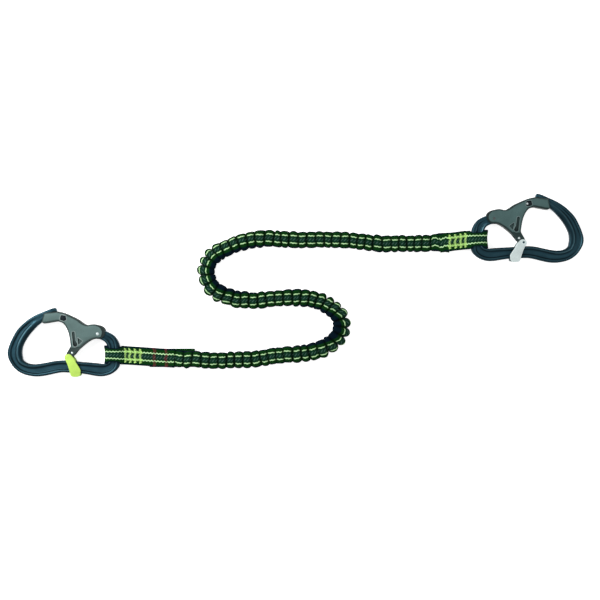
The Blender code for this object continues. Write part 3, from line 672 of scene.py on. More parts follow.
def sleeve_uv(i, j):
    """Along and across the webbing, which rolls with the lean and sits askew on each puff."""
    run, puff, inside, fade, bend, facts = ring_facts(i)
    rolled = sin(facts[5]) / sin(FULL_LEAN)
    roll = LEAN_ROLL * rolled + FULL_ROLL * max(0, rolled) ** 6
    bow = slant[puff] * (2 * inside - 1) + arch[puff] * (sin(pi * inside) - 0.6)
    across = (SECTION[j][2] - roll) * (1 + 0.20 * abs(bend)) * (1 + 0.08 * (1 - fade))
    last = 0.0024 * (sin(pi * inside) - 0.35) if puff == PUFFS - 1 else 0
    return run, across - bow * fade + last


crest = sleeve_point(20 * RINGS + 7, SPOKES // 2)
print("height of a puff at the first bend, mm:", round(crest.z * 1000, 1))

# %% Gathered sleeve
sleeve = swept("gathered_sleeve", PUFFS * RINGS, SPOKES, sleeve_point, sleeve_mark, uv=sleeve_uv)
dress(sleeve, GATHERED, "webbing", "elastic_webbing", "elastic_core", slot="webbing")
line = [gather_frame(gather_route.length * k / 160)[0] for k in range(161)]
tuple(line[0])
print("sleeve faces:", len(sleeve.data.polygons))

# %% [markdown]
# At each end the webbing runs flat, passes round the rear bow of the hook and comes back under
# itself. The two layers are stitched to one neck. Each eye is one flat strap swept along its
# side view, which is a loop round the bow that closes into the neck, so its stripes run on.

# %% Sizes of the necks and eyes
NECKS = {
    "left": [
        (-0.2660, -0.0959), (-0.2524, -0.0961), (-0.2412, -0.0965), (-0.2154, -0.0981),
        (-0.1900, -0.1000), ROUTE[0][:2],
    ],
    "right": [
        (0.1980, 0.0602), (0.2155, 0.0609), (0.2332, 0.0629), (0.2517, 0.0643), (0.2656, 0.0646),
    ],
}
HOOK_Z = HOOKS["left"].translation.z
EYE_SEAM = 0.014
LENGTHS = {"left": 0.0841, "right": 0.0534}
WAYS = {"left": 1, "right": -1}
LOOP_REACH = {"left": 0.0082, "right": 0.0095}
LOOP_CENTRE, LOOP_HALF, SEAM_HALF = -0.004, 0.0078, 0.0012
LOOP_CLOSING = [(0.003, LOOP_HALF), (0.0083, 0.0069), (0.0120, 0.0040), (0.0152, 0.0017)]
STRAIGHT_FROM = 0.019
STRIPE_SPREAD = {"left": (1.07, 0.93), "right": (1.01, 0.88)}
BOWS = {side: Vector(JOINTS[side + "_hook_swing"]["pos_m"]) for side in SIDES}
STRAP_SPOKES = 28
STRAP_THICK = 0.0023
WAIST_START, WAIST_END = (-0.0095, 0.004), (0.0065, 0.0035)
FRONT_END, STRIPE_TURN = (-0.0125, 0.006), (-0.010, 0.026)
DRAWN_IN, DRAWN_FROM, FLARE = 0.5, 0.0062, 0.0011
WAVE_LENGTH, WAVE_FROM = 0.0024, 0.018
FLAT_SHARE, EDGE_SHARE = 0.36, 0.28
WEBBING_HALF = 0.0129
print("lengths of the necks, mm:", [round(1000 * LENGTHS[side]) for side in SIDES])

# %% Helper for flat straps
def neck_y(side, x):
    """The neck's centre line at a given x, in the frame's own place."""
    points = [(a + ROUTE_SHIFT.x, b + ROUTE_SHIFT.y) for a, b in NECKS[side]]
    for a, b in pairwise(points):
        if x <= b[0]:
            return a[1] + (b[1] - a[1]) * (x - a[0]) / (b[0] - a[0])
    return points[-1][1]


def neck_top(side, u):
    """Height of the neck's middle layer line at a distance from the bow."""
    return HOOK_Z + (NECK_END_Z - HOOK_Z) * clamp((u - EYE_SEAM) / (LENGTHS[side] - EYE_SEAM))


def strap_section(half, thick):
    """A flat strap's section from the middle of its underside: across, up and girth."""
    edge = thick / 2
    level = half - edge
    quarter = pi * edge / 2
    points = []
    for j in range(STRAP_SPOKES + 1):
        share = 2 * j / STRAP_SPOKES
        mirror = 1 if share <= 1 else -1
        share = min(share, 2 - share)
        turned_by = (share - FLAT_SHARE) / EDGE_SHARE
        if turned_by < 0:
            across, high = level * share / FLAT_SHARE, -edge
            girth = 2 * level + 2 * quarter - across
        elif turned_by < 1:
            angle = radians(-90 + 180 * turned_by)
            across, high = level + edge * cos(angle), edge * sin(angle)
            girth = level + quarter * 2 * (1 - turned_by)
        else:
            across, high = level * (1 - share) / FLAT_SHARE, edge
            girth = across
        points.append((mirror * across, high, mirror * girth))
    return points


def pinch(side, place):
    """How far an eye is drawn in over the bow and flared at its front fold, and its stripe width."""
    u = (place.x - BOWS[side].x) * WAYS[side]
    waist = rise(u, *WAIST_START) * (1 - rise(u, *WAIST_END))
    wide, narrow = STRIPE_SPREAD[side]
    return waist, 1 - rise(u, *FRONT_END), wide + (narrow - wide) * rise(u, *STRIPE_TURN)


def chord(points, k):
    """From the point before to the point after, or less at an end."""
    return points[min(k + 1, len(points) - 1)] - points[max(k - 1, 0)]


def strap_line(outline, place, way=1):
    """(centre, up) pairs along a side view of (u, height) points; place gives each centre."""
    line = []
    for k, (u, z) in enumerate(outline):
        near = chord(outline, k)
        line.append((place(u, z), Vector((-near.y * way, 0, near.x)).normalized()))
    return line


def strap(name, line, half, thick, bulge, wavy=0.0, side=None):
    """A strap along a line of (centre, up) pairs; its width lies level, square to the line."""
    section = strap_section(half, thick)
    centres = [centre for centre, up in line]
    pinches = [pinch(side, centre) if side else (0, 0, 1) for centre in centres]
    runs = running((b - a).length for a, b in pairwise(centres))

    def place(i, j):
        centre, up = line[i]
        near = chord(centres, i)
        across, high, _ = section[j]
        slack = noise.noise(Vector((runs[i] / 0.010, across / 0.010, 7.0))) * bulge
        waist, front, _ = pinches[i]
        drawn = across - copysign(DRAWN_IN * waist * max(0, abs(across) - DRAWN_FROM), across)
        raised = high + slack + FLARE * front * (across / half) ** 2
        return centre + near.cross(up).normalized() * drawn + up * raised

    def uv(i, j):
        """The stripes swing from side to side over the last stretch before the gathers."""
        left_over = runs[-1] - runs[i]
        swing = wavy * smooth(1 - left_over / WAVE_FROM) * sin(left_over / WAVE_LENGTH)
        return runs[i], section[j][2] * pinches[i][2] + swing

    def shade(i, j):
        return smooth(1 - min(runs[i], runs[-1] - runs[i]) / 0.002) * bool(wavy)

    return swept(name, len(line) - 1, STRAP_SPOKES, place, shade, uv)


girth = 2000 * strap_section(WEBBING_HALF, STRAP_THICK)[0][2]
print("girth of a strap, mm:", round(girth, 1))

# %% Eyes and necks
def eye_line(side):
    """The middle of the strap from under the neck, round the bow and back along the top."""
    angles = [radians(a) for a in range(255, 104, -15)]
    turn = [(LOOP_CENTRE + LOOP_REACH[side] * cos(a), LOOP_HALF * sin(a)) for a in angles]
    upper = [(LOOP_CENTRE, LOOP_HALF), *LOOP_CLOSING]
    upper += [(STRAIGHT_FROM + (LENGTHS[side] - STRAIGHT_FROM) * k / 14, SEAM_HALF) for k in range(15)]
    bow, way = BOWS[side], WAYS[side]
    drift = bow.y - neck_y(side, bow.x)

    def place(u, z):
        x = bow.x + u * way
        y = neck_y(side, x) + drift * max(0, 1 - max(0, u) / LENGTHS[side])
        return Vector((x, y, z + neck_top(side, u)))

    return strap_line(spline([(u, -z) for u, z in upper[::-1]] + turn + upper, 4), place, way)


EYE_WAVES = {"left": 0.0004, "right": 0.0015}
for side in SIDES:
    line = eye_line(side)
    eye = strap(side + "_eye_strap", line, WEBBING_HALF, STRAP_THICK, 0.0005, EYE_WAVES[side], side)
    dress(eye, FLAT, "webbing", side + "_eye", slot="webbing")
    length = sum((b[0] - a[0]).length for a, b in pairwise(line))
    print(eye.name, "strap length, mm:", round(length * 1000))

# %% [markdown]
# Two more layers lie under the necks. The left one is the overload fold: it is held by the
# two red tacks, and a torn tack shows that the tether has caught a fall. The right one is the
# cut end of the webbing. Both are plain flat straps that follow the floor under the neck.

# %% Overload fold and right tail
def under_line(path, centre_y, slope=0.0):
    """A strap's middle line from (x, height) points, smoothed; its y may change with x."""
    points = spline([(x + ROUTE_SHIFT.x, z) for x, z in path], 6)
    start = points[0].x
    middle = centre_y + ROUTE_SHIFT.y
    return strap_line(points, lambda x, z: Vector((x, middle + slope * (x - start), z)))


UNDER_AT = {"left": 0.060, "right": 0.035}
LAYER_THICK = 0.0021
low_left, low_right = (neck_top(side, UNDER_AT[side]) - NECK_HALF - 0.0014 for side in SIDES)
fold_path = [(-0.2040, low_left), (-0.1880, low_left), (-0.1740, low_left - 0.0002)]
fold_path += [(-0.1600, 0.0023), (-0.1500, 0.0016), (-0.1410, 0.0014)]
tail_path = [(0.1995, low_right - 0.0002), (0.2150, low_right), (0.2320, low_right)]
tail_path += [(0.2375, low_right - 0.0014)]
end_path = [(x, low_right - 0.0024) for x in (0.2010, 0.2060, 0.2110, 0.2155)]
LAYERS = [
    ("overload_layer", under_line(fold_path, -0.1005), WEBBING_HALF, 0.0006, ["overload_fold"]),
    ("tail_layer", under_line(tail_path, 0.0587, 0.139), WEBBING_HALF, 0.0003, ["right_tail"]),
    ("folded_end", under_line(end_path, 0.0600, -0.17), 0.0117, 0.0003, []),
]
for name, line, half, bulge, nodes in LAYERS:
    dress(strap(name, line, half, LAYER_THICK, bulge), PLAIN, "webbing", *nodes, slot="webbing")
print("layers under the necks:", [layer[0] for layer in LAYERS])

# %% [markdown]
# The stitching is thread, so it is modelled as thread: a bar tack is one strand that zigzags
# across the webbing, and two rows of zigzag run along the tracer stripes between the tacks.
# A hand never sews a perfectly straight row, so each row drifts a little. The lime thread has
# a faint painted glow, an emission that makes it brighter than its lit colour; it stands in
# for the fluorescence of its dye.

# %% Thread finish
def thread_material(name, colour, dark, painted_glow=0.0):
    material, tree, shader = new_material(name)
    colour = (*colour, 1)
    material.diffuse_color = colour
    place = add(tree, "TexCoord").outputs["Object"]
    twist = add(tree, "TexWave", [(place, "Vector"), (900.0, "Scale"), (4.0, "Distortion")])
    twist = twist.outputs["Fac"]
    fuzz = noisy(tree, place, 1400.0)
    # The colour is darker along the twist of the plies
    twist_toned = mixed(tree, remap(tree, times(tree, twist, fuzz), 0.0, 0.6), (*dark, 1), colour)
    look = [(twist_toned, "Base Color"), (bumped(tree, twist, 0.4, 0.0001), "Normal")]
    look += [(remap(tree, fuzz, 0.3, 0.7, 0.55, 0.75), "Roughness"), (0.2, "Specular IOR Level")]
    # A painted glow: the emission brightens the thread whatever light falls on it
    connect(tree, shader, look + [(colour, "Emission Color"), (painted_glow, "Emission Strength")])
    return material


# The lime thread gets a faint painted glow
LIME_THREAD = thread_material("lime_thread", (0.72, 1.0, 0.38), (0.54, 1.0, 0.22), 0.07)
RED_THREAD = thread_material("red_thread", (0.42, 0.045, 0.085), (0.28, 0.03, 0.055))
print("thread colours: lime and red")

# %% Helper for stitched rows
def stitches(name, rows, radius):
    """Round threads through the points of each row, as one mesh."""
    data = bpy.data.curves.new(name, "CURVE")
    data.dimensions = "3D"
    data.bevel_depth = radius
    data.bevel_resolution = 1
    data.use_fill_caps = True
    for row in rows:
        thread = data.splines.new("POLY")
        thread.points.add(len(row) - 1)
        for point, place in zip(thread.points, row):
            point.co = (*place, 1)
    mesh = evaluated(placed(name, data))
    mesh.shade_smooth()
    return placed(name, mesh)


UNDER_LAYER, UNDER_END, TAIL_DROP = 0.0047, 0.0070, 0.0014
HUMP, HUMP_AT, HUMP_REACH = 0.0009, 0.0135, 0.0035


def on_neck(side, x, y, face, sunk):
    """A point on the upper or lower face of a neck."""
    u = abs(x - BOWS[side].x)
    high = NECK_HALF + HUMP * max(0, 1 - abs(u - HUMP_AT) / HUMP_REACH) - sunk
    if face < 0 and side == "right":
        high = UNDER_LAYER + TAIL_DROP * rise(x, tail_path[2][0], 0.0055)
        high = UNDER_END if 0.2005 < x < 0.2160 else high
    elif face < 0 and x > fold_path[0][0] + ROUTE_SHIFT.x:
        high = UNDER_LAYER
    return (x, neck_y(side, x) + y, neck_top(side, u) + face * high)


def zigzag_row(side, start, end, swing, step, face, sway=0.0):
    """One strand that zigzags from start to end, given as x and distance from the neck's middle."""
    (x, y), (far_x, far_y) = start, end
    crossing = x == far_x
    count = int((abs(far_y - y) if crossing else abs(far_x - x)) / step)
    row = []
    for k in range(count + 1):
        off = swing * (1 if k % 2 else -1) * dice.uniform(0.8, 1.1)
        off += sway * sin(3.4 * pi * k / count)
        here_x = x + off if crossing else x + (far_x - x) * k / count
        here_y = y + (far_y - y) * k / count if crossing else y + off
        row.append(on_neck(side, here_x, here_y, face, dice.uniform(0.0, 0.0002)))
    return row


high = on_neck("left", BOWS["left"].x + EYE_SEAM, 0, 1, 0)[2]
print("top of the left neck by the hook, mm:", round(high * 1000, 1))

# %% Lime tacks and rows, and the red overload tacks
LIME_X = {"left": (-0.2370, -0.2305, -0.2235, -0.2161), "right": (0.2138, 0.2216, 0.2289, 0.2355)}
LIME_SWAY = (0.0003, 0.0009, 0.0005, 0.0003)
LIME_HALF, RED_HALF = 0.0095, 0.0124
LIME_STEP, RED_STEP = 0.00085, 0.0008
LIME_RADIUS, RED_RADIUS = 0.00094, 0.0004
SEAM_OVER = 0.0025
RED_X = (-0.1966, -0.1803)
SEAM_Y = {"left": 0.0053, "right": 0.0056}
for side in SIDES:
    rows = []
    for face in (1, -1):
        tacks = [x + ROUTE_SHIFT.x for x in LIME_X[side]]
        for x, sway in zip(tacks, LIME_SWAY):
            ends = (x, -LIME_HALF), (x, LIME_HALF)
            rows.append(zigzag_row(side, *ends, 0.0014, LIME_STEP, face, sway))
        for y in (-SEAM_Y[side], SEAM_Y[side]):
            ends = (tacks[0] - SEAM_OVER, y), (tacks[3] + SEAM_OVER, y)
            rows.append(zigzag_row(side, *ends, 0.0015, LIME_STEP, face))
    lime = stitches(side + "_lime_stitching", rows, LIME_RADIUS)
    dress(lime, LIME_THREAD, "webbing", slot="webbing")
rows = []
for face in (1, -1):
    for x in (x + ROUTE_SHIFT.x for x in RED_X):
        for swing in (0.0017, 0.0024):
            ends = (x, -RED_HALF), (x, RED_HALF)
            rows.append(zigzag_row("left", *ends, swing, RED_STEP, face, 0.0005))
red = stitches("red_overload_tacks", rows, RED_RADIUS)
dress(red, RED_THREAD, "webbing", slot="webbing")
print("stitched faces:", len(lime.data.polygons) + len(red.data.polygons))

# %% [markdown]
# The hook frame is one forging: a bar of I section that runs from the pivot arm round the rear
# bow, along the spine and round the crook to the nose. Pairs of points on its outer and inner
# edge were taken at stations along it. A smooth curve through each row gives the two edges,
# and a ring between them gives the section: rounded flanks, flat rims and a groove on each
# face. The flanks and the groove walls get painted shade, and the rim corners are marked as
# worn edges, with a painted highlight along the crest of each groove.

# %% Frame stations
STATIONS = [
    ((3.4, 6.2), (-2.4, -6.4)), ((9.8, 4.1), (1.8, -7.4)), ((16.8, 1.0), (6.1, -9.0)),
    ((23.2, -3.3), (9.8, -11.4)), ((28.3, -10.7), (12.0, -14.6)), ((30.7, -18.2), (13.0, -19.6)),
    ((31.8, -29.2), (13.2, -29.2)), ((30.9, -39.0), (13.1, -37.6)),
    ((29.8, -44.9), (12.3, -40.0)), ((25.8, -50.6), (9.6, -41.2)), ((18.2, -56.0), (5.9, -41.6)),
    ((8.2, -58.9), (1.0, -41.0)), ((-1.4, -58.8), (-4.5, -40.4)),
    ((-12.1, -56.9), (-12.5, -39.7)), ((-23.5, -55.1), (-23.5, -38.9)),
    ((-36.0, -54.2), (-36.0, -37.7)), ((-48.4, -53.6), (-49.5, -36.9)),
    ((-58.0, -54.9), (-60.5, -37.8)), ((-67.7, -57.1), (-69.5, -39.5)),
    ((-78.4, -59.0), (-78.5, -41.1)), ((-89.1, -59.1), (-87.0, -42.0)),
    ((-100.4, -56.9), (-94.5, -41.5)), ((-109.2, -53.0), (-99.8, -39.6)),
    ((-116.6, -46.8), (-103.8, -36.2)), ((-121.6, -39.6), (-104.7, -32.2)),
    ((-124.8, -32.1), (-105.3, -28.0)), ((-125.2, -23.6), (-105.2, -23.0)),
    ((-122.7, -15.0), (-103.9, -17.0)), ((-117.9, -4.3), (-100.2, -9.3)),
    ((-111.9, 5.8), (-94.6, -1.1)), ((-103.0, 14.9), (-89.1, 5.3)),
    ((-94.6, 21.4), (-83.7, 11.0)), ((-84.5, 27.0), (-77.2, 16.3)),
    ((-76.6, 30.3), (-71.0, 22.2)), ((-69.8, 33.1), (-65.7, 27.5)),
    ((-64.2, 35.3), (-61.6, 30.4)), ((-60.0, 36.3), (-58.6, 30.7)),
]
FRAME_HALF = 5.5
LUG_RADIUS = 6.8
STATION_PARTS = 5
NOSE_THINNING = 1.2
# Where the groove opens and closes: stations from each end, and over how many stations
GROOVE_START, GROOVE_END = (1.5, 2), (4, 2.5)
# Marks from mid flank to the middle of the groove, for a quarter of the section: below 0 is
# painted shade on the flank and the groove wall, above 0 is wear with a painted highlight on
# the crest, brighter on the inner side
OUTER_MARKS = (-0.50, -0.56, -0.60, -0.58, -0.42, -0.05, 0.45, 0.20, -0.72, -0.80, -0.26, 0.0)
INNER_MARKS = (-0.55, -0.60, -0.70, -0.66, -0.44, 0.25, 0.85, 0.60, -0.66, -0.70, -0.20, 0.0)
# Steps down the groove's wall, as shares of its width and depth in groove units
WALL_STEPS = ((0, 0.05), (0.25, 0.35), (0.6, 1.2), (1, 1.8), (1.4, 2.0), (1.8, 2.0))
# Rim widths at some stations: the crook is thick on its inner side, and the bow on its outer side
OUTER_RIM = [
    (0, 3.4), (3, 4.4), (5, 6.2), (7, 5.6), (10, 3.5), (18, 3.4), (24, 2.8), (30, 2.9), (36, 3.4),
]
INNER_RIM = [
    (0, 3.4), (3, 2.8), (9, 2.6), (18, 2.5), (21, 3.8), (25, 6.6), (30, 7.6), (33, 5.6), (36, 3.4),
]
print("stations along the frame:", len(STATIONS))

# %% Rings of the frame
def rim_at(table, station):
    """The rim width at a station, between the entries of a table."""
    for (a, low), (b, high) in pairwise(table):
        if station <= b:
            return low + (high - low) * rise(station, a, b - a)
    return table[-1][1]


def frame_quarter(reach, half, groove, marks, rim, middle, slope):
    """Across, height and mark of a quarter section, from mid flank to the middle of the groove."""
    rim = min(rim, reach * 0.85)
    flank = max(0.6 * rim, rim - 1.8)
    drop = min(flank, 1.6 + 0.3 * flank)
    wall = reach * slope
    points = [(reach, 0)]
    for angle in map(radians, (22, 45, 68, 90)):
        points.append((reach - flank + flank * cos(angle), half - drop + drop * sin(angle)))
    points.append((reach - (flank + rim) / 2, half))
    points += [(reach - rim - a * wall, half - b * groove) for a, b in WALL_STEPS]
    low = middle + 0.02 * reach
    strength = max(groove, 0.35)
    steps = zip(points, range(12, 0, -1), marks)
    return [(max(across, low + 0.01 * k), high, mark * strength) for (across, high), k, mark in steps]


def frame_ring(outer, inner, groove, half, rims=(3.4, 3.4)):
    """One ring: outer quarter, inner quarter and the same two below."""
    across = outer - inner
    middle = (outer + inner) / 2
    reach = across.length / 2
    across.normalize()
    shift = clamp((rims[1] - rims[0]) / (2 * reach), -0.3, 0.3) * reach
    upper = frame_quarter(reach, half, groove, OUTER_MARKS, rims[0], shift, 0.20)
    upper.append((shift, half - 2.0 * groove, 0.15 * groove))
    far = frame_quarter(reach, half, groove, INNER_MARKS, rims[1], -shift, 0.27)
    upper += [(-a, z, m) for a, z, m in far[::-1]]
    loop = upper + [(a, -z, m) for a, z, m in upper[-2:0:-1]]
    return [(Vector((middle.x + across.x * a, middle.y + across.y * a, z)), m) for a, z, m in loop]


def frame_rings():
    first_out, first_in = [Vector(p) for p in STATIONS[0]]
    across = (first_out - first_in).normalized()
    along = Vector((across.y, -across.x))
    rings = []
    for angle in map(radians, (88, 76, 62, 48, 34, 20, 8)):
        centre = -along * LUG_RADIUS * sin(angle)
        side = across * LUG_RADIUS * cos(angle)
        rings.append(frame_ring(centre + side, centre - side, 0, FRAME_HALF))
    outer, inner = (spline([s[edge] for s in STATIONS], STATION_PARTS) for edge in (0, 1))
    last = (len(outer) - 1) / STATION_PARTS
    for i, (out, into) in enumerate(zip(outer, inner)):
        station = i / STATION_PARTS
        groove = rise(station, *GROOVE_START) * rise(last - station, *GROOVE_END)
        half = FRAME_HALF - NOSE_THINNING * (1 - rise(last - station, 0, 2))
        rims = [rim_at(table, station) for table in (OUTER_RIM, INNER_RIM)]
        rings.append(frame_ring(out, into, groove, half, rims))
    ahead = (outer[-1] - outer[-3]).normalized()
    for reach, shrink in ((0.8, 0.92), (1.4, 0.7), (1.7, 0.35)):
        out = outer[-1].lerp(inner[-1], (1 - shrink) * 0.9) + ahead * reach
        into = inner[-1].lerp(outer[-1], (1 - shrink) * 0.1) + ahead * reach
        rings.append(frame_ring(out, into, 0, (FRAME_HALF - NOSE_THINNING) * (0.6 + 0.4 * shrink)))
    return rings


rings = frame_rings()
print("frame rings:", len(rings), "points in a ring:", len(rings[0]))

# %% [markdown]
# The cut parts of a hook are plates: an outline is drawn, filled, extruded and given rounded
# edges, and then pockets and holes are cut out. The cutters are plates too, and a boolean
# modifier takes each one out exactly. The result is kept as a plain mesh.

# %% Helpers for outlines
def arc(centre, radius, start, end, count):
    angles = [radians(start + (end - start) * k / (count - 1)) for k in range(count)]
    return [(centre[0] + radius * cos(a), centre[1] + radius * sin(a)) for a in angles]


def corners(points):
    """Each point of a closed outline between its neighbours."""
    points = [Vector(p) for p in points]
    return zip(points[-1:] + points[:-1], points, points[1:] + points[:1])


def softened(points, radius, parts=4):
    """A closed outline with its corners cut to short arcs."""
    shape = []
    for a, b, c in corners(points):
        start, end = (b + (p - b).normalized() * min(radius, (p - b).length / 2.2) for p in (a, c))
        for t in (k / parts for k in range(parts + 1)):
            shape.append(tuple(start * (1 - t) ** 2 + b * 2 * t * (1 - t) + end * t * t))
    return shape


def swollen_outline(points, by):
    """An outline pushed outward by a distance, for the rib round a pocket."""
    area = sum(b.x * c.y - c.x * b.y for a, b, c in corners(points))
    pushed = []
    for a, b, c in corners(points):
        beside = (c - a).normalized()
        pushed.append(tuple(b + Vector((beside.y, -beside.x)) * copysign(1, area) * by))
    return pushed


print("points in a softened triangle:", len(softened([(0, 0), (9, 0), (0, 9)], 1)))

# %% Helpers for plates and cuts
THROUGH = 20
CLEAR = 5


def plate(outline, low, high, edge=0.0, segments=3):
    """An outline filled and extruded from low to high, with its rims rounded."""
    bm = bmesh.new()
    face = bm.faces.new([bm.verts.new((point[0], point[1], low)) for point in outline])
    pushed = bmesh.ops.extrude_face_region(bm, geom=[face])
    top = [v for v in pushed["geom"] if isinstance(v, bmesh.types.BMVert)]
    bmesh.ops.translate(bm, vec=(0, 0, high - low), verts=top)
    bmesh.ops.recalc_face_normals(bm, faces=bm.faces)
    if edge:
        rims = [e for e in bm.edges if e.verts[0].co.z == e.verts[1].co.z]
        bmesh.ops.bevel(
            bm, geom=rims, offset=edge, segments=segments, profile=0.5, affect="EDGES", material=-1
        )
    return bm


def cut(outline, low=-THROUGH, high=THROUGH):
    return ("DIFFERENCE", plate(outline, low, high))


def hole(centre, radius, low=-THROUGH, high=THROUGH):
    return cut(arc(centre, radius, 0, 360 - 360 / 28, 28), low, high)


def both_faces(operation, outline, low, high):
    """One plate above the middle plane and its twin below."""
    return [(operation, plate(outline, *levels)) for levels in ((low, high), (-high, -low))]


def carved(solid, cuts):
    """The mesh of a solid piece after plates are joined to it or cut out of it."""
    tools = []
    for operation, bm in cuts:
        step = solid.modifiers.new("cut", "BOOLEAN")
        step.operation = operation
        step.solver = "EXACT"
        step.object = finished("tool", bm)
        tools.append(step.object)
    mesh = evaluated(solid)
    for tool in tools:
        bpy.data.objects.remove(tool)
    return mesh


def closed(points):
    return pairwise(points + points[:1])


def on_hook(side, name, mesh, material, body, node, slot, sharp=32):
    """A copy of a millimetre mesh, set in its hook's place and named after its side."""
    copy = mesh.copy()
    copy.name = f"{side}_{name}"
    copy.transform(HOOKS[side])
    copy.shade_smooth()
    copy.set_sharp_from_angle(angle=radians(sharp))
    nodes = [f"{side}_{node}"] if node else []
    dress(placed(copy.name, copy), material, f"{side}_{body}", *nodes, slot=slot)


sample = plate([(0, 0), (10, 0), (10, 10), (0, 10)], 0, 5)
print("a plate of 10 x 10 x 5 mm, cubic mm:", round(sample.calc_volume()))
sample.free()

# %% Hook frames
PIVOT_RADIUS = 1.85
EARS = arc((0, 0), 5.6, -90, 90, 19) + [(-14, 5.6), (-14, -5.6)]
EAR_GAP_HALF = 2.6
PLAY = 0.1
place, shade = (lambda i, j, part=part: rings[i][j][part] for part in (0, 1))
forging = swept("forging", len(rings) - 1, len(rings[0]), place, shade)
cuts = [hole((0, 0), PIVOT_RADIUS + PLAY), cut(EARS, -EAR_GAP_HALF, EAR_GAP_HALF)]
frame_mesh = carved(forging, cuts)
for side in SIDES:
    on_hook(side, "frame_forging", frame_mesh, SLATE, "hook", "hook_frame", "frame")
print("frame faces:", len(frame_mesh.polygons))

# %% [markdown]
# The gate is a grey casting that turns on the pivot rivet. Its nose end and its pivot end are
# forks that take the frame between two cheeks, and its stem is a third fork that straddles
# the spine and carries the lever. The face has a window, a keyhole pocket and a small
# triangular pocket, each with a fine rib. A shallow crescent is sunk into both faces round the
# pivot end, narrower on the back. The flat face is pale. Painted shade darkens the rounded
# edge, most on the sides that face away from the light, and also the stem, the walls, the
# pocket floors and the crescent's floor.

# %% Gate outline
GATE_NOSE = [(-57.0, 31.0), (-74.6, 29.3), (-77.8, 16.4)]
GATE_FRONT = [
    (-74.5, 14.2), (-70.0, 14.6), (-65.7, 15.4), (-60.0, 16.3), (-54.6, 17.0), (-48.4, 14.9),
    (-44.2, 10.1), (-41.0, 3.2), (-39.3, -3.3), (-38.2, -10.7), (-37.7, -17.2), (-39.9, -21.4),
    (-42.5, -25.7), (-43.8, -28.8),
]
GATE_REAR = [
    (-32.4, -29.5), (-28.1, -24.2), (-23.8, -19.9), (-17.4, -14.5), (-11.0, -9.9), (-5.7, -7.4),
]
GATE_TOP = [
    (0.0, 12.1), (-3.2, 12.9), (-6.5, 13.3), (-10.5, 12.9), (-15.0, 12.2), (-20.6, 14.9),
    (-27.1, 19.7), (-35.6, 24.0), (-44.2, 27.8), (-50.6, 29.9),
]
NOSE_SLOT = [(-79.5, 13.2), (-76.7, 15.8), (-70.5, 21.7), (-65.2, 27.0), (-60.3, 30.0), (-57.0, 30.6)]
NOSE_SLOT += [(-57.0, 45.0), (-95.0, 45.0), (-95.0, 13.2)]
LEVER_PIVOT = (-41.5, -32.0)
STEM_RIVET = (-35.2, -26.3)
PIN_RADIUS = 1.3
PIVOT_END = 9.4
FORK_HALF, STEM_HALF, GATE_HALF = 5.9, 7.4, 8.2
LEVER_INNER, LEVER_HALF = 7.7, 9.2


def curved(points, parts=4):
    return [tuple(point) for point in spline(points, parts)]


gate_line = GATE_NOSE + curved(GATE_FRONT) + arc(LEVER_PIVOT, 3.3, 165, 310, 12) + curved(GATE_REAR)
gate_line += arc((0.9, 2.2), PIVOT_END, -105, 75, 28) + curved(GATE_TOP)
clean_line = [a for a, b in closed(gate_line) if dist(a, b) > 0.15]
print("gate outline points:", len(clean_line))

# %% Pockets in the gate's face
SLOT_TOP, SLOT_LOW, BULB = (-33.5, 1.3), (-32.5, -8.8), (-31.0, -14.6)
KEYHOLE = arc(SLOT_TOP, 2.0, 4, 184, 9) + [(SLOT_LOW[0] - 2.1, SLOT_LOW[1])]
KEYHOLE += arc(BULB, 3.1, 165, 375, 14) + [(SLOT_LOW[0] + 2.1, SLOT_LOW[1])]
CORNER = softened([(-27.9, -5.0), (-26.3, -15.3), (-20.8, -9.9)], 1.1)
WINDOW = softened([(-52.3, 19.8), (-50.9, 26.2), (-43.9, 25.3), (-43.0, 19.3), (-47.0, 17.7)], 1.6, 6)
CRESCENT = arc((-3.5, 1.6), PIVOT_END, -75, 80, 31) + [(2.5, 20), (20, 20), (20, -20), (3.0, -20)]
BACK_CRESCENT = [(x + 2.0, y) for x, y in CRESCENT]
POCKET_DEPTH = 1.5
CRESCENT_DEPTH = 0.8
RIB_WIDTH = 1.0
RIB_HIGH = 0.28
ABOVE = GATE_HALF + CLEAR

cuts = []
for outline in (KEYHOLE, CORNER, WINDOW):
    rib = swollen_outline(outline, RIB_WIDTH)
    cuts += both_faces("UNION", rib, GATE_HALF - 0.5, GATE_HALF + RIB_HIGH)
for outline in (KEYHOLE, CORNER):
    cuts += both_faces("DIFFERENCE", outline, GATE_HALF - POCKET_DEPTH, ABOVE)
cuts += [cut(WINDOW), cut(CRESCENT, GATE_HALF - CRESCENT_DEPTH, ABOVE)]
cuts.append(cut(BACK_CRESCENT, -ABOVE, CRESCENT_DEPTH - GATE_HALF))
print("pocket tools:", len(cuts))

# %% Gates
ROUND_EDGE = 1.7
STEM_BOX = [(-60, -60), (-10, -60)]
fork = arc((0, 0), LUG_RADIUS + 0.8, 90, 270, 25) + [(20, -LUG_RADIUS - 0.8), (20, 20), (0, 20)]
for outline in (NOSE_SLOT, fork, STEM_BOX + [(-10, -22.8), (-60, -22.8)]):
    cuts.append(cut(outline, -FORK_HALF, FORK_HALF))
step_edge = STEM_BOX + [(-10, -18.2), (-29.4, -18.2), (-32.0, -19.6), (-35.0, -19.4), (-60, -17.4)]
cuts += both_faces("DIFFERENCE", step_edge, STEM_HALF, ABOVE)
for centre, radius in (((0, 0), PIVOT_RADIUS), (STEM_RIVET, PIN_RADIUS), (LEVER_PIVOT, PIN_RADIUS)):
    cuts.append(hole(centre, radius + PLAY))
cuts.append(hole(LEVER_PIVOT, 3.2, STEM_HALF - 0.9, ABOVE))
bm = plate(clean_line, -GATE_HALF, GATE_HALF, ROUND_EDGE, 4)
flats = [f for f in bm.faces if f.calc_area() > 300]
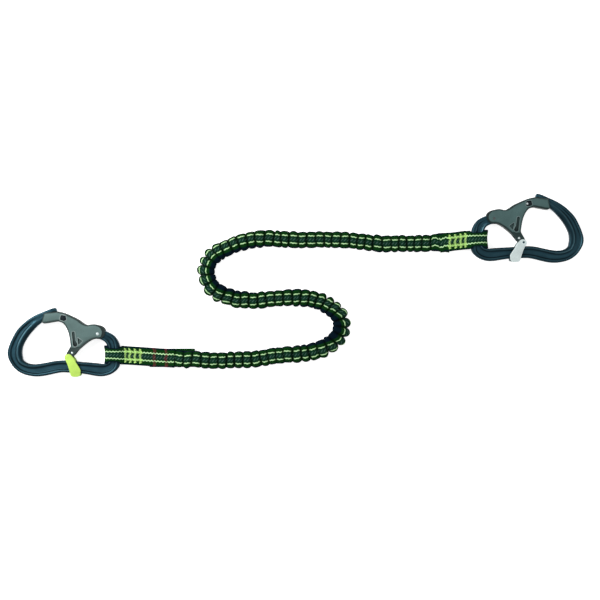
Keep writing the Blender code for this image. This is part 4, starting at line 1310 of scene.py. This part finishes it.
for border in (0.9, 0.5):
    bmesh.ops.inset_individual(bm, faces=flats, thickness=border, use_even_offset=True)
gate_mesh = carved(finished("casting", bm), cuts)
print("casting faces:", len(gate_mesh.polygons))

# %% Marks of the gate
GATE_EDGES = [(Vector(a), Vector(b) - Vector(a)) for a, b in closed(clean_line)]


def from_edge(place):
    """Distance to the gate's outline, and the width of the painted shade on the shoulder there, from
    0.5 to 1.
    """
    best = (99.0, 0.0)
    for start, along in GATE_EDGES:
        share = clamp((place - start).dot(along) / along.length_squared)
        gap = (start + along * share - place).length
        if gap < best[0]:
            best = (gap, max(1.6 * along.y, along.x) / along.length)
    return best[0], clamp(best[1], 0.5)


# Painted shade on the gate, as marks below 0: its pocket floors, then its stem, its other walls
# and its rounded shoulder
CORNER_MARK, BULB_MARK, SLOT_MARK = -0.42, -1.0, -0.62
STEM_MARK, WALL_MARK, SHOULDER_MARK = -0.74, -0.9, -0.8
CORNER_FROM_X, BULB_BELOW_Y, STEM_BELOW_Y = -28.3, -11, -18
SHOULDER_DROP = 0.35


def gate_marks(mesh):
    """Painted shade on shoulders, stem and walls, pale ribs, and on pocket floors inset from the
    walls.
    """
    bm = bmesh.new()
    bm.from_mesh(mesh)
    layer = bm.verts.layers.float.new("mark")
    level = GATE_HALF - POCKET_DEPTH
    floors = [f for f in bm.faces if all(abs(abs(v.co.z) - level) < 0.01 for v in f.verts)]
    floors = [f for f in floors if f.calc_area() > 5]
    bmesh.ops.inset_individual(bm, faces=floors, thickness=0.9, use_even_offset=True)
    shaded_floor = {v for f in floors for v in f.verts}
    for vert in bm.verts:
        x, y, z = vert.co
        high = abs(z)
        if high > GATE_HALF + 0.1:
            vert[layer] = 1.0
        elif vert in shaded_floor:
            in_slot = BULB_MARK if y < BULB_BELOW_Y else SLOT_MARK
            vert[layer] = CORNER_MARK if x > CORNER_FROM_X else in_slot
        elif y < STEM_BELOW_Y:
            vert[layer] = STEM_MARK
        elif high < GATE_HALF - 1.0 or (x > -2 and abs(high - GATE_HALF + CRESCENT_DEPTH) < 0.02):
            vert[layer] = WALL_MARK
        else:
            # Painted shade on the rounded shoulder, wider on the sides that face away from the light
            gap, share = from_edge(vert.co.xy)
            vert[layer] = SHOULDER_MARK * (1 - smooth(gap - 2.2 * share))
            if gap > ROUND_EDGE - 0.2:
                drop = SHOULDER_DROP * share * (1 - rise(gap, ROUND_EDGE, 1.4))
                vert.co.z -= copysign(drop, z)
    bm.to_mesh(mesh)
    bm.free()


gate_marks(gate_mesh)
# The right gate takes the darker copy of the grey finish, which is painted shade
for side, finish in (("left", GREY), ("right", GREY_PAINTED_SHADE)):
    on_hook(side, "gate_casting", gate_mesh, finish, "gate_group", "gate", "gate")
print("gate faces:", len(gate_mesh.polygons))

# %% [markdown]
# The lock lever is a bent plate. Its two cheeks pass each side of the spine and its web joins
# them outside the spine, where a thumb presses it. The left one is lime and the right silver.

# %% Lock levers
LEVER_OUTLINE = [
    (-44.3, -29.0), (-45.6, -31.6), (-45.5, -34.2), (-42.9, -39.4), (-40.9, -44.5),
    (-38.8, -51.2), (-37.6, -55.8), (-35.9, -58.6), (-31.7, -59.6), (-26.6, -59.0),
    (-24.1, -57.2), (-23.4, -53.2), (-23.5, -49.9), (-25.9, -45.5), (-29.3, -40.2),
    (-31.2, -36.4), (-33.9, -32.4), (-37.2, -28.8), (-41.0, -27.9), (-44.3, -29.0),
]
LEVER_MOUTH = [(-28.3, -56.8), (-23.0, -60.5), (-15, -60), (-15, -20), (-60, -20), (-60, -56.8)]
bent = finished("bent_plate", plate(curved(LEVER_OUTLINE)[:-1], -LEVER_HALF, LEVER_HALF, 0.65, 3))
cuts = [cut(LEVER_MOUTH, -LEVER_INNER, LEVER_INNER), hole(LEVER_PIVOT, PIN_RADIUS + PLAY)]
lever_mesh = carved(bent, cuts)
# Painted shade: the lever darkens a little below its top faces, down its walls and between its cheeks
marks = lever_mesh.attributes.new("mark", "FLOAT", "POINT")
for vert in lever_mesh.vertices:
    marks.data[vert.index].value = -0.25 * (1 - rise(abs(vert.co.z), LEVER_HALF - 0.8, 0.6))
for side, finish in (("left", LIME), ("right", SILVER)):
    on_hook(side, "lever_plate", lever_mesh, finish, "lever_group", "lock_lever", side + "_lever")
print("lever faces:", len(lever_mesh.polygons))

# %% [markdown]
# Rivets are turned pins whose ends are peened over, so each is a profile spun about its own
# axis. The pivot rivet has a bright domed head on one face and a countersunk end on the other,
# with painted shade, which is why it looks bright on the left hook and dark on the turned-over
# right one.

# %% Rivets and pins
def turned(profile, centre, shaded_below=-50, steps=28):
    """A profile of (radius, height) points spun about its own axis, with painted shade below a given
    height.
    """
    bm = bmesh.new()
    verts = [bm.verts.new((radius, 0, height)) for radius, height in profile]
    geom = verts + [bm.edges.new(pair) for pair in pairwise(verts)]
    origin, axis = (0, 0, 0), (0, 0, 1)
    bmesh.ops.spin(bm, geom=geom, cent=origin, axis=axis, angle=2 * pi, steps=steps, use_merge=True)
    bmesh.ops.remove_doubles(bm, verts=bm.verts, dist=1e-4)
    bmesh.ops.recalc_face_normals(bm, faces=bm.faces)
    bmesh.ops.translate(bm, vec=(*centre, 0), verts=bm.verts)
    layer = bm.verts.layers.float.new("mark")
    for vert in bm.verts:
        # Painted shade below the given height
        vert[layer] = -0.9 if vert.co.z < shaded_below else 0.0
    mesh = bpy.data.meshes.new("turned")
    bm.to_mesh(mesh)
    bm.free()
    return mesh


def peened(radius, low, high, dome, spread):
    """A rivet's profile, with a domed and slightly spread head at each end."""
    head = [(0, dome), (0.5, dome * 0.8), (0.85, dome * 0.4), (1, 0)]
    wide = radius + spread
    top = [(wide * out, high + up) for out, up in head]
    base = [(wide * out, low - up) for out, up in head[::-1]]
    return top + [(radius, high - 0.15), (radius, low + 0.15)] + base


HEAD, END = GATE_HALF, -GATE_HALF
pivot_profile = [(0, HEAD + 0.32), (1.2, HEAD + 0.31), (1.7, HEAD + 0.22), (2.05, HEAD - 0.02)]
pivot_profile += [(PIVOT_RADIUS, HEAD - 0.2), (PIVOT_RADIUS, END), (1.5, END - 0.12)]
pivot_profile += [(1.2, END + 0.1), (0.9, END + 0.8), (0, END + 1.0)]
pin_meshes = {
    "pivot_rivet": turned(pivot_profile, (0, 0), shaded_below=0),
    "stem_rivet": turned(peened(PIN_RADIUS, -STEM_HALF, STEM_HALF, 0.3, 0.15), STEM_RIVET),
    "lever_pin_top": turned(peened(PIN_RADIUS, FORK_HALF, LEVER_HALF, 0.2, 0.25), LEVER_PIVOT),
    "lever_pin_bottom": turned(peened(PIN_RADIUS, -LEVER_HALF, -FORK_HALF, 0.2, 0.25), LEVER_PIVOT),
}
PIN_FINISH = {"left": LIME, "right": SLATE}
for side in SIDES:
    for pin, mesh in pin_meshes.items():
        body = "hook" if pin == "pivot_rivet" else "gate_group"
        finish = PIN_FINISH[side] if pin.startswith("lever") else STEEL
        on_hook(side, pin + "_turned", mesh, finish, body, pin, "steel", 40)
print("turned pins:", 2 * len(pin_meshes))

# %% [markdown]
# A black block fills the window. It is the end of the catch that holds the gate on the nose,
# and a rib divides it into two dark lobes. On the back face the end of its steel pin shows.

# %% Latch blocks and springs
SUNK = 1.2
WINDOW_RIB = [(-48.3, 18.9), (-47.2, 18.7), (-46.9, 25.0), (-48.0, 25.1)]
block = finished("block", plate(swollen_outline(WINDOW, -0.12), END + SUNK, HEAD - SUNK, 0.4, 2))
latch_mesh = carved(block, [("UNION", plate(WINDOW_RIB, END + 0.5, HEAD - 0.5))])
pin_profile = [(0, END + 0.1), (1.1, END + 0.25), (1.5, END + 0.6), (1.5, -6.0), (0, -6.0)]
latch_pin = turned(pin_profile, (-45.4, 21.6))
for side in SIDES:
    on_hook(side, "latch_moulding", latch_mesh, LATCH_BLACK, "gate_group", "latch_block", "latch")
    on_hook(side, "latch_pin", latch_pin, STEEL, "gate_group", None, "steel")
    for spring in ("gate_spring", "lever_spring"):
        frame["nodes"][f"{side}_{spring}"].data.materials[0] = SPRING_WIRE
print("latch faces:", len(latch_mesh.polygons))
